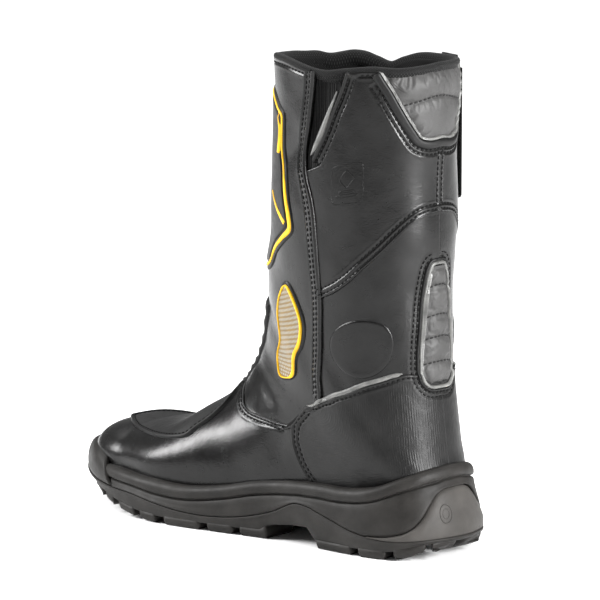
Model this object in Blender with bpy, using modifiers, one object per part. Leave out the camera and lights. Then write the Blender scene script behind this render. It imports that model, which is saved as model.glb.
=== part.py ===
"""Tall pull-on firefighter boot, left foot, as an assembly of its sewn, lasted and moulded pieces.

Frame: +X is the boot's outer (lateral) side, the toe points along -Y, +Z is up, the tread stands on
z = 0.  Lengths in the tables are millimetres and become metres when a mesh is made.
"""
import math

import bmesh
import bpy
import numpy as np
from mathutils import Matrix

MM = 0.001

# ---------------------------------------------------------------- driving dimensions, mm
LEATHER = 2.2            # thickness of the upper leather
LINING = 1.7             # thickness of the membrane lining
LINING_GAP = 3.5         # lining's outer face below the leather's outer face, in the shaft
BOOTIE_GAP = 6.9         # the same in the foot, where cap and stiffener lie between
CAP_GAP = 3.9            # toe cap and heel stiffener, below the leather's outer face
CAP_STEEL = 1.6          # toe cap and stiffener thickness
OVERLAY_LIFT = 1.3       # underside of a stitched-on piece above the leather
OVERLAY = 1.5            # thickness of a stitched-on piece
SEAM = 0.9               # gap between two panels that meet edge to edge
CUP_GAP = 1.8            # sole cup to lasted upper
SOLE_JOINT = 0.50        # outsole to midsole
ANKLE_AXIS = (70.0, 115.0)   # y and z of the line the shaft flexes about
STRAP_Z = 297.0          # height the pull strap swings from

# outline of the sole seen from above, from the toe tip along the outer side to the heel tip
OUTER_EDGE = [(-10, -157), (12, -151), (29, -137), (45, -112), (55, -78), (56, -40), (50, 0),
              (44.5, 35), (44.5, 75), (44, 115), (36, 140), (22, 152), (0, 157)]
INNER_EDGE = [(-10, -157), (-31, -151), (-43, -137), (-50, -112), (-53, -78), (-51, -40),
              (-42, 0), (-37.5, 35), (-40, 75), (-42, 115), (-35, 140), (-21, 152), (0, 157)]

# cross-sections of the last, each in a leaning plane:
# base y, base z, ridge y, ridge z, outer half width, inner half width,
# base width ratio, level of the widest point, power of the upper arc, power of the lower arc
SECTIONS = [
    (-95, 20, -97, 54, 47, 46, 0.97, 0.36, 2.5, 2.2),
    (-62, 18, -66, 61, 51, 47, 0.96, 0.36, 2.3, 2.2),
    (-25, 18, -44, 73, 48, 43, 0.94, 0.35, 2.2, 2.2),
    (20, 21, -22, 86, 42, 39, 0.90, 0.36, 2.1, 2.2),
    (70, 27, -8, 102, 39, 37, 0.86, 0.40, 2.1, 2.2),
    (116, 30, 0, 122, 40, 39, 0.64, 0.44, 2.1, 2.2),
    (143, 34, 4, 142, 42, 41, 0.08, 0.47, 2.1, 2.2),
    (140, 62, 6, 159, 43, 42, 0.02, 0.48, 2.1, 2.2),
    (135, 100, 8, 177, 44, 43, 0.02, 0.49, 2.1, 2.2),
    (133, 145, 12, 198, 47, 46, 0.02, 0.50, 2.1, 2.2),
    (134, 198, 14, 225, 49, 49, 0.02, 0.50, 2.1, 2.2),
    (134, 245, 15, 255, 49, 49, 0.02, 0.50, 2.1, 2.2),
    (135, 290, 16, 290, 49, 49, 0.02, 0.50, 2.1, 2.2),
    (135, 302, 16, 302, 49, 49, 0.02, 0.50, 2.1, 2.2),
]
TOE_TIP = (-8.0, -141.0, 24.0)   # x, y, z of the last's tip
NOSE = 0.16                      # share of s that the rounded toe takes

# panel borders as (s, t): s runs from the toe tip (0) to the rim (1), t from the ridge (0) down
# either side to the feather edge or the back seam (1)
SIDE_SEAM = [(0.40, 0.53), (0.48, 0.53), (0.53, 0.49), (0.58, 0.50), (0.65, 0.525), (0.74, 0.53),
             (0.80, 0.515), (0.86, 0.475), (0.93, 0.47), (1.00, 0.475)]
VAMP_TOP = [(0.00, 0.405), (0.20, 0.412), (0.50, 0.420), (0.70, 0.425), (0.85, 0.448), (1.00, 0.480)]
COUNTER_FRONT = [(0.53, 0.480), (0.68, 0.458), (0.78, 0.450), (0.89, 0.445), (1.00, 0.440)]
COUNTER_TOP = [(0.48, 0.530), (0.58, 0.580), (0.68, 0.617), (0.78, 0.643), (0.87, 0.657),
               (0.94, 0.656), (1.00, 0.647)]
DIAGONAL = [(0.52, 0.695), (0.65, 0.735), (0.74, 0.770), (0.825, 0.805), (0.895, 0.825),
            (1.00, 0.830)]
GUSSET_REAR = [(0.865, 0.520), (0.88, 0.560), (0.91, 0.580), (0.955, 0.607), (1.00, 0.640)]
CALF_V = [(0.905, 0.045), (0.912, 0.070), (0.94, 0.135), (0.968, 0.185), (1.00, 0.225)]


def curve(table, x):
    """Smooth curve through (x, y) pairs; y may have several values."""
    xs = np.array([row[0] for row in table], float)
    ys = np.array([row[1:] for row in table], float)
    slope = np.gradient(ys, xs, axis=0)
    x = min(max(x, xs[0]), xs[-1])
    i = min(max(int(np.searchsorted(xs, x)) - 1, 0), len(xs) - 2)
    h = xs[i + 1] - xs[i]
    u = (x - xs[i]) / h
    value = ((2 * u**3 - 3 * u**2 + 1) * ys[i] + (u**3 - 2 * u**2 + u) * h * slope[i]
             + (3 * u**2 - 2 * u**3) * ys[i + 1] + (u**3 - u**2) * h * slope[i + 1])
    return float(value[0]) if len(value) == 1 else value


def straight(table, x):
    """Straight-line reading of (x, y) pairs."""
    return float(np.interp(x, [row[0] for row in table], [row[1] for row in table]))


# ---------------------------------------------------------------- the last
def section_positions():
    mids = [(0.45 * r[0] + 0.55 * r[2], 0.45 * r[1] + 0.55 * r[3]) for r in SECTIONS]
    lengths = [0.0]
    for a, b in zip(mids, mids[1:]):
        lengths.append(lengths[-1] + math.dist(a, b))
    return [NOSE + (1 - NOSE) * d / lengths[-1] for d in lengths]


SECTION_TABLE = [(s, *row) for s, row in zip(section_positions(), SECTIONS)]


def last_section(s):
    """Section values at s, the toe rounded off before the first section, and the x of its ridge."""
    row = curve(SECTION_TABLE, max(s, NOSE)).copy()
    centre = float(np.interp(s, [0, NOSE, NOSE + .12, NOSE + .3, 1], [TOE_TIP[0], -4, -1, 0, 0]))
    if s < NOSE:
        u = 1 - math.cos(math.pi / 2 * s / NOSE)
        wide = (1 - (1 - u)**2.3)**(1 / 2.3)
        high = (1 - (1 - u)**2.6)**(1 / 2.6)
        first = row.copy()
        row[0] = TOE_TIP[1] + (first[0] - TOE_TIP[1]) * u
        row[1] = TOE_TIP[2] + (first[1] - TOE_TIP[2]) * (1 - (1 - u)**1.5)
        row[2] = row[0] + (first[2] - first[0]) * u
        row[3] = row[1] + (first[3] - first[1]) * high
        row[4] = first[4] * wide
        row[5] = first[5] * wide
    return row, centre


def last_points(s, ts):
    """Points of the last's surface at s for each t, in mm."""
    row, centre = last_section(s)
    base, ridge = row[0:2], row[2:4]
    height = max(float(np.hypot(*(ridge - base))), 1e-6)
    along = (ridge - base) / height
    ratio = min(max(row[6], 0.0), 0.985)
    level, upper, lower = row[7], row[8], row[9]
    end = math.pi - math.asin(ratio**(lower / 2))
    foot = abs(math.cos(end))**(2 / lower)
    angle = np.linspace(0, end, 181)
    sine, cosine = np.sin(angle), np.cos(angle)
    power = np.where(cosine >= 0, upper, lower)
    across = np.abs(sine)**(2 / power)
    rise = np.where(cosine >= 0, level + (1 - level) * np.abs(cosine)**(2 / upper),
                    level - level / foot * np.abs(cosine)**(2 / lower)) * height
    points = []
    for t in ts:
        side = 1 if t >= 0 else -1
        x = across * (row[4] if side > 0 else row[5])
        run = np.concatenate([[0], np.cumsum(np.hypot(np.diff(x), np.diff(rise)))])
        at = abs(t) * run[-1]
        d = np.interp(at, run, rise)
        points.append((centre + side * np.interp(at, run, x), base[0] + along[0] * d,
                       base[1] + along[1] * d))
    return np.array(points)


def wrap(t):
    """t past the back seam carries on along the other side."""
    return t - 2 if t > 1 else t + 2 if t < -1 else t


def on_last(s, t, lift):
    """A point of the last's surface moved out along its normal by lift."""
    ds, dt = 0.004, 0.008
    s = min(max(s, 0.006), 1.0)
    low, high = max(s - ds, 0.001), min(s + ds, 1.0)
    here = last_points(s, [wrap(t)])[0]
    limit = 1.0 if s < 0.55 else 9.0
    ta, tb = max(t - dt, -limit), min(t + dt, limit)
    side = last_points(s, [wrap(tb)])[0] - last_points(s, [wrap(ta)])[0]
    up = last_points(high, [wrap(t)])[0] - last_points(low, [wrap(t)])[0]
    normal = np.cross(side, up)
    return here + normal / max(float(np.linalg.norm(normal)), 1e-9) * lift


# ---------------------------------------------------------------- Blender helpers
def clear_scene():
    for old in list(bpy.data.objects):
        bpy.data.objects.remove(old, do_unlink=True)


def collection(name):
    made = bpy.data.collections.new(name)
    bpy.context.scene.collection.children.link(made)
    return made


def material(name, colour, roughness, metallic=0.0):
    made = bpy.data.materials.new(name)
    made.use_nodes = True
    shader = made.node_tree.nodes["Principled BSDF"]
    shader.inputs["Base Color"].default_value = (*colour, 1)
    shader.inputs["Roughness"].default_value = roughness
    shader.inputs["Metallic"].default_value = metallic
    made.diffuse_color = (*colour, 1)
    return made


def hang_on(made, parent):
    """Parent an object whose mesh is already in place, keeping it there."""
    made.parent = parent
    made.matrix_parent_inverse = Matrix.Translation(-parent.location)


def new_object(name, mesh, look, into, parent):
    made = bpy.data.objects.new(name, mesh)
    into.objects.link(made)
    hang_on(made, parent)
    if look:
        mesh.materials.append(look)
    return made


def mesh_from(name, points, faces):
    mesh = bpy.data.meshes.new(name)
    mesh.from_pydata([tuple(float(c) * MM for c in p) for p in points], [], faces)
    mesh.validate()
    return mesh


def facing_out(mesh):
    """Turn every face of a closed mesh outwards."""
    work = bmesh.new()
    work.from_mesh(mesh)
    bmesh.ops.recalc_face_normals(work, faces=work.faces)
    work.to_mesh(mesh)
    work.free()


def outward_order(points, columns, s, t):
    """True if a grid's faces, in grid_faces order, look out of the last at its middle."""
    rows = len(points) // columns
    r, c = rows // 2 - 1, columns // 2 - 1
    corner = np.array(points[r * columns + c])
    along = np.array(points[r * columns + c + 1]) - corner
    up = np.array(points[(r + 1) * columns + c]) - corner
    out = on_last(s, t, 1.0) - on_last(s, t, 0.0)
    return float(np.dot(np.cross(along, up), out)) > 0


def grid_faces(rows, columns, closed=False):
    faces = []
    for r in range(rows - 1):
        for c in range(columns if closed else columns - 1):
            d = (c + 1) % columns
            faces.append((r * columns + c, r * columns + d, (r + 1) * columns + d,
                          (r + 1) * columns + c))
    return faces


def sheet(name, rows, columns, where, lift, thick, look, into, parent):
    """An open grid laid over the last, thickened inwards; where(r, c) gives s and t."""
    points = []
    for i in range(rows):
        for j in range(columns):
            s, t = where(i / (rows - 1), j / (columns - 1))
            height = lift(i / (rows - 1), j / (columns - 1)) if callable(lift) else lift
            points.append(on_last(s, t, height))
    faces = grid_faces(rows, columns)
    if not outward_order(points, columns, *where(0.5, 0.5)):
        faces = [face[::-1] for face in faces]
    made = new_object(name, mesh_from(name, points, faces), look, into, parent)
    wall = made.modifiers.new("thickness", "SOLIDIFY")
    wall.thickness = thick * MM
    wall.offset = -1
    wall.use_even_offset = False
    return made


def loft(name, loops, look, into, parent):
    """Closed loops of equal length skinned into one body, with flat ends."""
    count = len(loops[0])
    points = [p for loop in loops for p in loop]
    faces = grid_faces(len(loops), count, closed=True)
    faces.append(tuple(range(count))[::-1])
    faces.append(tuple(range((len(loops) - 1) * count, len(loops) * count)))
    mesh = mesh_from(name, points, faces)
    facing_out(mesh)
    return new_object(name, mesh, look, into, parent)


def cut(target, cutter, how="DIFFERENCE"):
    step = target.modifiers.new("cut", "BOOLEAN")
    step.operation = how
    step.solver = "EXACT"
    step.object = cutter
    return step


def tube(name, path, radius, look, into, parent, sides=1):
    """A round cord along a list of points in mm."""
    data = bpy.data.curves.new(name, "CURVE")
    data.dimensions = "3D"
    data.bevel_depth = radius * MM
    data.bevel_resolution = sides
    data.use_fill_caps = True
    line = data.splines.new("POLY")
    line.points.add(len(path) - 1)
    for point, place in zip(line.points, path):
        point.co = (*(float(c) * MM for c in place), 1)
    made = bpy.data.objects.new(name, data)
    into.objects.link(made)
    hang_on(made, parent)
    data.materials.append(look)
    return made


# ---------------------------------------------------------------- upper panels
def side_t(s):
    return curve(SIDE_SEAM, s)


def vamp_where(r, c):
    """The vamp runs from the toe tip back to the shaft panel and the counters."""
    t = (2 * c - 1)
    a = abs(t)
    rear = curve(VAMP_TOP, a / 0.53) if a < 0.53 else curve(COUNTER_FRONT, a)
    rear -= SEAM / 2 / 440
    s = 0.008 + (rear - 0.008) * (1 - (1 - r)**1.25)
    return s, t


def front_panel_where(r, c):
    """The shin panel runs from the vamp to the rim, between the side seams."""
    k = 2 * c - 1
    low = curve(VAMP_TOP, abs(k)) + SEAM / 2 / 400
    s = low + (1.0 - low) * r
    return s, k * (side_t(s) - SEAM / 2 / 118)


def rear_panel_where(side):
    """The upper rear panel: from the diagonal seam up, cut away for gusset and calf pad."""
    def across(s, c):
        front = straight(GUSSET_REAR, s) if s > 0.865 else side_t(s)
        front += SEAM / 2 / 118
        knots = [front, front + (0.762 - front) / 3, front + (0.762 - front) / 1.5, 0.762, 0.778,
                 0.815, 0.865, 0.90, 0.935, 0.968, 1.0 - 0.35 / 118]
        return float(np.interp(c, np.linspace(0, 1, len(knots)), knots))

    def between(t, r):
        low = curve(DIAGONAL, t) + SEAM / 2 / 440
        return low + (calf_edge_s(t) - low) * r

    def where(r, c):
        t = across(between(across(0.8, c), r), c)
        return between(t, r), side * t
    return where


def calf_edge_s(u):
    """Upper limit of the rear panel at u, which steps down along the calf pad's V."""
    table = [(0.762, 1.0), (0.778, 0.988), (0.815, 0.962), (0.865, 0.933), (0.935, 0.905),
             (1.0, 0.899)]
    return straight(table, u)


def quarter_where(side):
    """The ankle quarter lies between the counter and the diagonal seam."""
    def between(t, r):
        low = curve(COUNTER_TOP, t) + 1.6 * SEAM / 440
        return low + (curve(DIAGONAL, t) - SEAM / 2 / 440 - low) * r

    def where(r, c):
        s = between(0.515 + 0.48 * c, r)
        front = side_t(s) + SEAM / 118
        window = pad_half_width(s + 0.009 if s < 0.70 else s - 0.003)
        back = min(1.0 - 0.35 / 118, 1.0 - window)
        t = front + (back - front) * c
        return between(t, r), side * t
    return where


def pad_half_width(s):
    """Half width in t of the window for the Achilles pad, zero outside it."""
    low, high = 0.652, 0.777
    if s <= low or s >= high:
        return 0.0
    u = (s - low) / (high - low) * 2 - 1
    return 0.0125 + 0.085 * (1 - abs(u)**3.2)**0.6


def counter_where(side):
    """The heel counter lies between the sole cup, the vamp and the counter top."""
    def where(r, c):
        stop = 1.0 - 0.35 / 118
        u = 0.53 + (stop - 0.53) * c
        low = curve(COUNTER_FRONT, u) + SEAM / 2 / 300
        high = curve(COUNTER_TOP, 0.49 + (stop - 0.49) * c) - SEAM / 2 / 440
        t_low, t_high = u, 0.49 + (stop - 0.49) * c
        return low + (high - low) * r, side * (t_low + (t_high - t_low) * r)
    return where


def gusset_where(side):
    def where(r, c):
        s = 0.869 + (1.0 - 0.869) * r
        front = side_t(s) + 0.008
        back = straight(GUSSET_REAR, s) - 0.006
        return s, side * (front + (max(back, front + 0.004) - front) * c)
    return where


def calf_pad_where(r, c):
    s = 0.909 + (1.0 - 0.909) * r
    half = straight(CALF_V, s) - 0.008
    return s, 1.0 + (2 * c - 1) * half


def achilles_where(r, c):
    low, high = 0.657, 0.773
    s = low + (high - low) * r
    half = max(pad_half_width(s) - 0.020, 0.012)
    return s, 1.0 + (2 * c - 1) * half


def crown(rise, base):
    """Lift that swells in the middle of a padded piece."""
    def lift(r, c):
        edge = min(r, 1 - r, c, 1 - c)
        return base + rise * (1 - (1 - min(edge * 3.2, 1))**2)
    return lift


def oval(s0, s1, t0, t1, side=1, lean=0.0, power=2.4):
    """where(r, c) over a rounded patch, wide in the middle; lean raises it towards the back."""
    def where(r, c):
        u = 2 * r - 1
        half = max((1 - abs(u)**power)**(1 / power), 0.16)
        mid, wide = (t0 + t1) / 2, (t1 - t0) / 2
        off = wide * half * (2 * c - 1)
        return s0 + (s1 - s0) * r + lean * off, side * (mid + off)
    return where


def path_on_last(pairs, lift, count, side=1):
    """Evenly read points along (s, t) pairs, on the surface."""
    steps = [0.0]
    for a, b in zip(pairs, pairs[1:]):
        steps.append(steps[-1] + math.dist((a[0] * 3.2, a[1]), (b[0] * 3.2, b[1])))
    table = [(d, *p) for d, p in zip(steps, pairs)]
    points = []
    for i in range(count):
        s, t = curve(table, steps[-1] * i / (count - 1))
        points.append(on_last(s, side * t, lift))
    return points


# ---------------------------------------------------------------- sole
def edge_point(k, outer):
    """Point k (0 toe to 1 heel) of the sole's outline, and its inward direction."""
    table = OUTER_EDGE if outer else INNER_EDGE
    mirror = INNER_EDGE if outer else OUTER_EDGE
    knots = [mirror[1]] + table + [mirror[-2]]
    place = k * (len(table) - 1)
    i = min(int(place), len(table) - 2)
    u = place - i
    p = [np.array(q, float) for q in knots[i:i + 4]]
    m1, m2 = (p[2] - p[0]) / 2, (p[3] - p[1]) / 2
    at = ((2 * u**3 - 3 * u**2 + 1) * p[1] + (u**3 - 2 * u**2 + u) * m1
          + (3 * u**2 - 2 * u**3) * p[2] + (u**3 - u**2) * m2)
    way = ((6 * u**2 - 6 * u) * p[1] + (3 * u**2 - 4 * u + 1) * m1
           + (6 * u - 6 * u**2) * p[2] + (3 * u**2 - 2 * u) * m2)
    way /= max(np.hypot(*way), 1e-9)
    inward = np.array([-way[1], way[0]]) if outer else np.array([way[1], -way[0]])
    return at, inward


def tread_z(y):
    """Underside of the tread: flat under ball and heel, sprung at the toe, bevelled behind."""
    if y < -60:
        return 0.0022 * (y + 60)**2
    if y > 118:
        return 0.0069 * (y - 118)**2
    return 0.0


def outsole_top(y):
    return curve([(-157, 24), (-125, 16), (-90, 11), (-55, 9), (15, 10), (40, 16), (66, 18),
                  (90, 15.5), (125, 15.5), (157, 22)], y)


def rand_top(y):
    return curve([(-157, 33), (-120, 31), (-88, 29.5), (-60, 27.5), (-30, 26), (0, 27), (25, 31.5),
                  (52, 39), (77, 40), (100, 41), (120, 44.5), (141, 51), (157, 57)], y)


def sole_rows(first, last_row, count, levels, across=5):
    """Closed sections across the sole; levels lists (inset, z(y)) from the bottom up."""
    loops = []
    for i in range(count):
        k = first + (last_row - first) * i / (count - 1)
        sides = []
        for outer in (True, False):
            at, inward = edge_point(k, outer)
            column = []
            for inset, height in levels:
                p = at + inward * (inset(at[1]) if callable(inset) else inset)
                column.append((p[0], p[1], height(p[1])))
            sides.append(column)
        outer_side, inner_side = sides
        bottom_a, bottom_b = inner_side[0], outer_side[0]
        top_a, top_b = outer_side[-1], inner_side[-1]
        loop = list(outer_side)
        for j in range(1, across):
            f = j / across
            y = top_a[1] + (top_b[1] - top_a[1]) * f
            loop.append((top_a[0] + (top_b[0] - top_a[0]) * f, y, levels[-1][1](y)))
        loop += inner_side[::-1]
        for j in range(1, across):
            f = j / across
            y = bottom_a[1] + (bottom_b[1] - bottom_a[1]) * f
            loop.append((bottom_a[0] + (bottom_b[0] - bottom_a[0]) * f, y, levels[0][1](y)))
        loops.append(loop)
    return loops


def inset_growing(near, far, start, stop):
    """An inset that grows from near at y = start to far at y = stop."""
    def inset(y):
        return float(np.interp(y, sorted((start, stop)),
                               (near, far) if start < stop else (far, near)))
    return inset


def box(name, low, high, into, parent, turn=0.0):
    """A box between two corners in mm, turned about its own upright axis."""
    work = bmesh.new()
    bmesh.ops.create_cube(work, size=1.0)
    bmesh.ops.scale(work, verts=work.verts, vec=[(b - a) * MM for a, b in zip(low, high)])
    mesh = bpy.data.meshes.new(name)
    work.to_mesh(mesh)
    work.free()
    made = bpy.data.objects.new(name, mesh)
    into.objects.link(made)
    made.location = [(a + b) / 2 * MM for a, b in zip(low, high)]
    made.rotation_euler = (0, 0, math.radians(turn))
    return made


def tool(made):
    """Mark an object as a cutter."""
    made.hide_render = True
    made.display_type = "WIRE"
    return made


def last_solid(name, lift, into, parent):
    """The closed volume inside the last, from the toe to above the heel, finest round the heel."""
    places = np.concatenate([np.linspace(0.012, 0.16, 11), np.linspace(0.18, 0.43, 10),
                             np.linspace(0.445, 0.60, 17), [0.63, 0.66]])
    loops = [[on_last(s, t, lift) for t in np.linspace(-1, 1, 27)] for s in places]
    return tool(loft(name, loops, None, into, parent))


def build_outsole(looks, into, tools, foot):
    levels = [(8.0, tread_z), (3.5, lambda y: tread_z(y) + 4.0),
              (1.2, lambda y: outsole_top(y) - 3.0), (0.4, outsole_top)]
    sole = loft("outsole", sole_rows(0.02, 0.98, 37, levels), looks["rubber"], into, foot)
    arch = [[(x, 31, -5), (x, 33, 8.0), (x, 50, 11.0), (x, 66, 12.5), (x, 70, -5)]
            for x in (-80, 80)]
    cut(sole, tool(loft("waist_cutter", arch, None, tools, foot)))
    for index, (y, turn) in enumerate([(-126, 24), (-100, 18), (-72, 10), (-47, 6), (-20, 0),
                                       (7, -6)]):
        for side in (1, -1):
            name = f"forefoot_groove_{index}_{'outer' if side > 0 else 'inner'}"
            low, high = (13, y - 2.6, tread_z(y) - 6), (72, y + 2.6, tread_z(y) + 4.2)
            if side < 0:
                low, high = (-high[0], low[1], low[2]), (-low[0], high[1], high[2])
            cut(sole, tool(box(name, low, high, tools, foot, side * turn)))
    for index, (y, turn) in enumerate([(96, 0), (125, -14)]):
        for side in (1, -1):
            name = f"heel_groove_{index}_{'outer' if side > 0 else 'inner'}"
            low, high = (12, y - 2.6, -6), (66, y + 2.6, 5.5)
            if side < 0:
                low, high = (-high[0], low[1], low[2]), (-low[0], high[1], high[2])
            cut(sole, tool(box(name, low, high, tools, foot, side * turn)))
    cut(sole, tool(box("heel_groove_back", (-2.6, 128, -6), (2.6, 170, 12), tools, foot)))
    cut(sole, tool(box("ball_channel", (-2.4, -88, -6), (2.4, -14, 3.2), tools, foot)))
    return sole


def cup_levels(top_gap=0.0, top_inset=4.5):
    """Side wall of the sole above the outsole, from the joint up to the rand's rim."""
    low = lambda y: outsole_top(y) + SOLE_JOINT
    rim = lambda y: rand_top(y) + top_gap
    return [(0.4, low), (0.0, lambda y: low(y) + 0.40 * (rim(y) - low(y))),
            (1.8, lambda y: rim(y) - 4.0), (top_inset, rim)]


def leaning(levels, start, stop, extra):
    """Lean the wall inwards towards the end of the sole, more so higher up."""
    leant = []
    for share, (inset, height) in zip((0, 0.35, 0.8, 1), levels):
        leant.append((inset_growing(inset, inset + extra * share, start, stop), height))
    return leant


def build_cup(looks, into, tools, foot):
    """Midsole, toe bumper and heel clip: one wall, split across the sole, hollowed by the last."""
    hollow = last_solid("last_cutter", CUP_GAP, tools, foot)
    pieces = {
        "toe_bumper": (0.015, 0.297, 12, leaning(cup_levels(3.0, 5.0), -92, -157, 4.0)),
        "midsole": (0.300, 0.806, 22, cup_levels()),
        "heel_clip": (0.809, 0.985, 10, leaning(cup_levels(), 132, 157, 5.0)),
    }
    for name, (first, stop, count, levels) in pieces.items():
        made = loft(name, sole_rows(first, stop, count, levels), looks[name], into, foot)
        cut(made, hollow)


def base_row(s, inset, low, thick, x_scale=1.0):
    """A flat-topped bar across the inside of the sole cup at s."""
    medial, lateral = last_points(s, [-1.0])[0], last_points(s, [1.0])[0]
    centre = (medial[0] + lateral[0]) / 2
    half = ((lateral[0] - medial[0]) / 2 - inset) * x_scale
    y, z = medial[1], medial[2] + low
    return [(centre - half, y, z), (centre - half, y, z + thick), (centre, y, z + thick),
            (centre + half, y, z + thick), (centre + half, y, z), (centre, y, z)]


def build_insoles(looks, into, foot):
    """The flat layers under the foot, from the lasting board up to the footbed."""
    layers = {
        "insole_board": (4.7, 0.6, 1.8, 0.078, 0.524, 1.0),
        "shank_plate": (9.8, 2.8, 1.0, 0.33, 0.492, 0.42),
        "puncture_plate": (9.8, 4.2, 0.8, 0.135, 0.508, 1.0),
        "footbed": (9.8, 5.4, 4.0, 0.135, 0.508, 1.0),
    }
    for name, (inset, low, thick, s0, s1, share) in layers.items():
        count = 18
        loops = []
        for i in range(count):
            s = s0 + (s1 - s0) * i / (count - 1)
            loops.append(base_row(s, inset, low, thick, share))
        loft(name, loops, looks[name], into, foot)


# ---------------------------------------------------------------- assembly
def build_mosaic(looks, into, foot, shaft):
    """The leather panels that meet edge to edge."""
    black = looks["leather"]
    sheet("vamp", 12, 23, vamp_where, 0.0, LEATHER, black, into, foot)
    sheet("front_shaft_panel", 17, 15, front_panel_where, 0.0, LEATHER, black, into, shaft)
    for side, word in ((1, "outer"), (-1, "inner")):
        sheet(f"heel_counter_{word}", 12, 12, counter_where(side), 0.0, LEATHER,
              looks["counter"], into, foot)
        sheet(f"ankle_quarter_{word}", 11, 11, quarter_where(side), 0.0, LEATHER, black, into, foot)
        sheet(f"rear_shaft_panel_{word}", 11, 11, rear_panel_where(side), 0.0, LEATHER, black,
              into, shaft)
        sheet(f"stretch_gusset_{word}", 8, 4, gusset_where(side), -0.6, 1.2, looks["elastic"],
              into, shaft)
    sheet("calf_pad", 8, 11, calf_pad_where, crown(3.0, 0.2), 2.4, looks["pad"], into, shaft)
    sheet("achilles_pad", 11, 7, achilles_where, crown(2.2, 0.2), 2.4, looks["pad"], into, foot)


def build_lining(looks, into, foot):
    def where(r, c):
        s = 0.03 + (0.992 - 0.03) * r
        end = float(np.interp(s, [0, 0.53, 0.56, 1], [0.955, 0.955, 0.996, 0.997]))
        return s, (2 * c - 1) * end

    def lift(r, c):
        s = 0.03 + (0.992 - 0.03) * r
        return -float(np.interp(s, [0.665, 0.72], [BOOTIE_GAP, LINING_GAP]))
    sheet("membrane_lining", 18, 21, where, lift, LINING, looks["lining"], into, foot)


def build_stiffeners(looks, into, foot):
    def cap(r, c):
        return 0.010 + 0.195 * (1 - (1 - r)**1.25), (2 * c - 1) * 0.93

    def heel(r, c):
        return 0.552 + 0.085 * r, 0.72 + 0.56 * c
    sheet("toe_cap", 8, 15, cap, -CAP_GAP, CAP_STEEL, looks["toe_cap"], into, foot)
    sheet("heel_stiffener", 6, 11, heel, -CAP_GAP, CAP_STEEL, looks["stiffener"], into, foot)


def build_overlays(looks, into, foot, shaft):
    """Pieces stitched on top of the panels."""
    top = OVERLAY_LIFT + OVERLAY

    def guard(r, c):
        s = 0.10 + (0.405 - 0.10) * r
        half = straight([(0.10, 0.06), (0.13, 0.26), (0.19, 0.41), (0.26, 0.52), (0.31, 0.53),
                         (0.335, 0.44), (0.37, 0.24), (0.405, 0.17)], s)
        return s, (2 * c - 1) * half
    sheet("instep_guard", 9, 9, guard, top, OVERLAY, looks["guard"], into, foot)
    for side, word in ((1, "outer"), (-1, "inner")):
        sheet(f"ankle_disc_{word}", 7, 7, oval(0.641, 0.699, 0.590, 0.818, side, 0.18), crown(1.0, top),
              OVERLAY, looks["leather"], into, foot)
        sheet(f"reflex_insert_{word}", 7, 5, oval(0.535, 0.650, 0.250, 0.395, side), top,
              OVERLAY - 0.3, looks["reflex"], into, shaft)
        ring = oval_path(0.520, 0.664, 0.224, 0.421)
        tube(f"reflex_border_{word}", path_on_last(ring, 2.0, 21, side), 0.9, looks["yellow"],
             into, shaft)
        seam = [(s, side_t(s) + 0.026) for s in (0.585, 0.65, 0.72, 0.79, 0.845)]
        sheet(f"side_seam_strip_{word}", 12, 3, strip(seam, 0.022, side), top, OVERLAY,
              looks["leather"], into, shaft)
        edge = [(0.540, 0.495), (0.578, 0.555), (0.620, 0.680), (0.647, 0.780), (0.660, 0.860)]
        tube(f"counter_piping_{word}", path_on_last(edge, 2.0, 13, side), 1.0, looks["piping"],
             into, foot)
        edge = [(0.955, 0.607), (0.91, 0.580), (0.88, 0.556)]
        tube(f"gusset_piping_{word}", path_on_last(edge, 2.0, 9, side), 1.0, looks["piping"],
             into, shaft)
    pad_edge = [(1.0 - 0.004, -0.235), (0.968, -0.195), (0.94, -0.146), (0.915, -0.084),
                (0.9035, -0.04), (0.9035, 0.04), (0.915, 0.084), (0.94, 0.146), (0.968, 0.195),
                (1.0 - 0.004, 0.235)]
    centred = [(s, 1 + t) for s, t in pad_edge]
    tube("calf_pad_piping", path_on_last(centred, 2.3, 31), 1.0, looks["piping"], into, shaft)
    surround = [(s - 0.014 * (1 - abs(t) * 2.2), 1 + t * 1.13 + math.copysign(0.012, t))
                for s, t in pad_edge]
    sheet("calf_pad_surround", 27, 3, strip(surround, 0.027), top, OVERLAY, looks["leather"], into,
          shaft)
    ring = oval_path(0.650, 0.779, 0.905, 1.095, 2.9)
    tube("achilles_piping", path_on_last(ring, 2.3, 27), 1.0, looks["piping"], into, foot)


def oval_path(s0, s1, t0, t1, power=2.3):
    """(s, t) pairs round an oval, leaving a hair's gap at its top."""
    pairs = []
    for i in range(17):
        a = math.radians(92 + 356 * i / 16)
        c, d = math.cos(a), math.sin(a)
        x = math.copysign(abs(c)**(2 / power), c)
        y = math.copysign(abs(d)**(2 / power), d)
        pairs.append(((s0 + s1) / 2 + (s1 - s0) / 2 * y, (t0 + t1) / 2 + (t1 - t0) / 2 * x))
    return pairs


def strip(pairs, width, side=1):
    """where(r, c) along (s, t) pairs, width in units of t."""
    scale = 2.8
    steps = [0.0]
    for a, b in zip(pairs, pairs[1:]):
        steps.append(steps[-1] + math.dist((a[0] * scale, a[1]), (b[0] * scale, b[1])))
    table = [(d, *p) for d, p in zip(steps, pairs)]

    def where(r, c):
        at = steps[-1] * r
        here = curve(table, at)
        ahead = curve(table, min(at + 0.01, steps[-1]))
        behind = curve(table, max(at - 0.01, 0))
        way = np.array([(ahead[0] - behind[0]) * scale, ahead[1] - behind[1]])
        way /= max(float(np.hypot(*way)), 1e-9)
        s = here[0] + way[1] * (c - 0.5) * width / scale
        t = here[1] - way[0] * (c - 0.5) * width
        return min(s, 0.999), side * t
    return where


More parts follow.
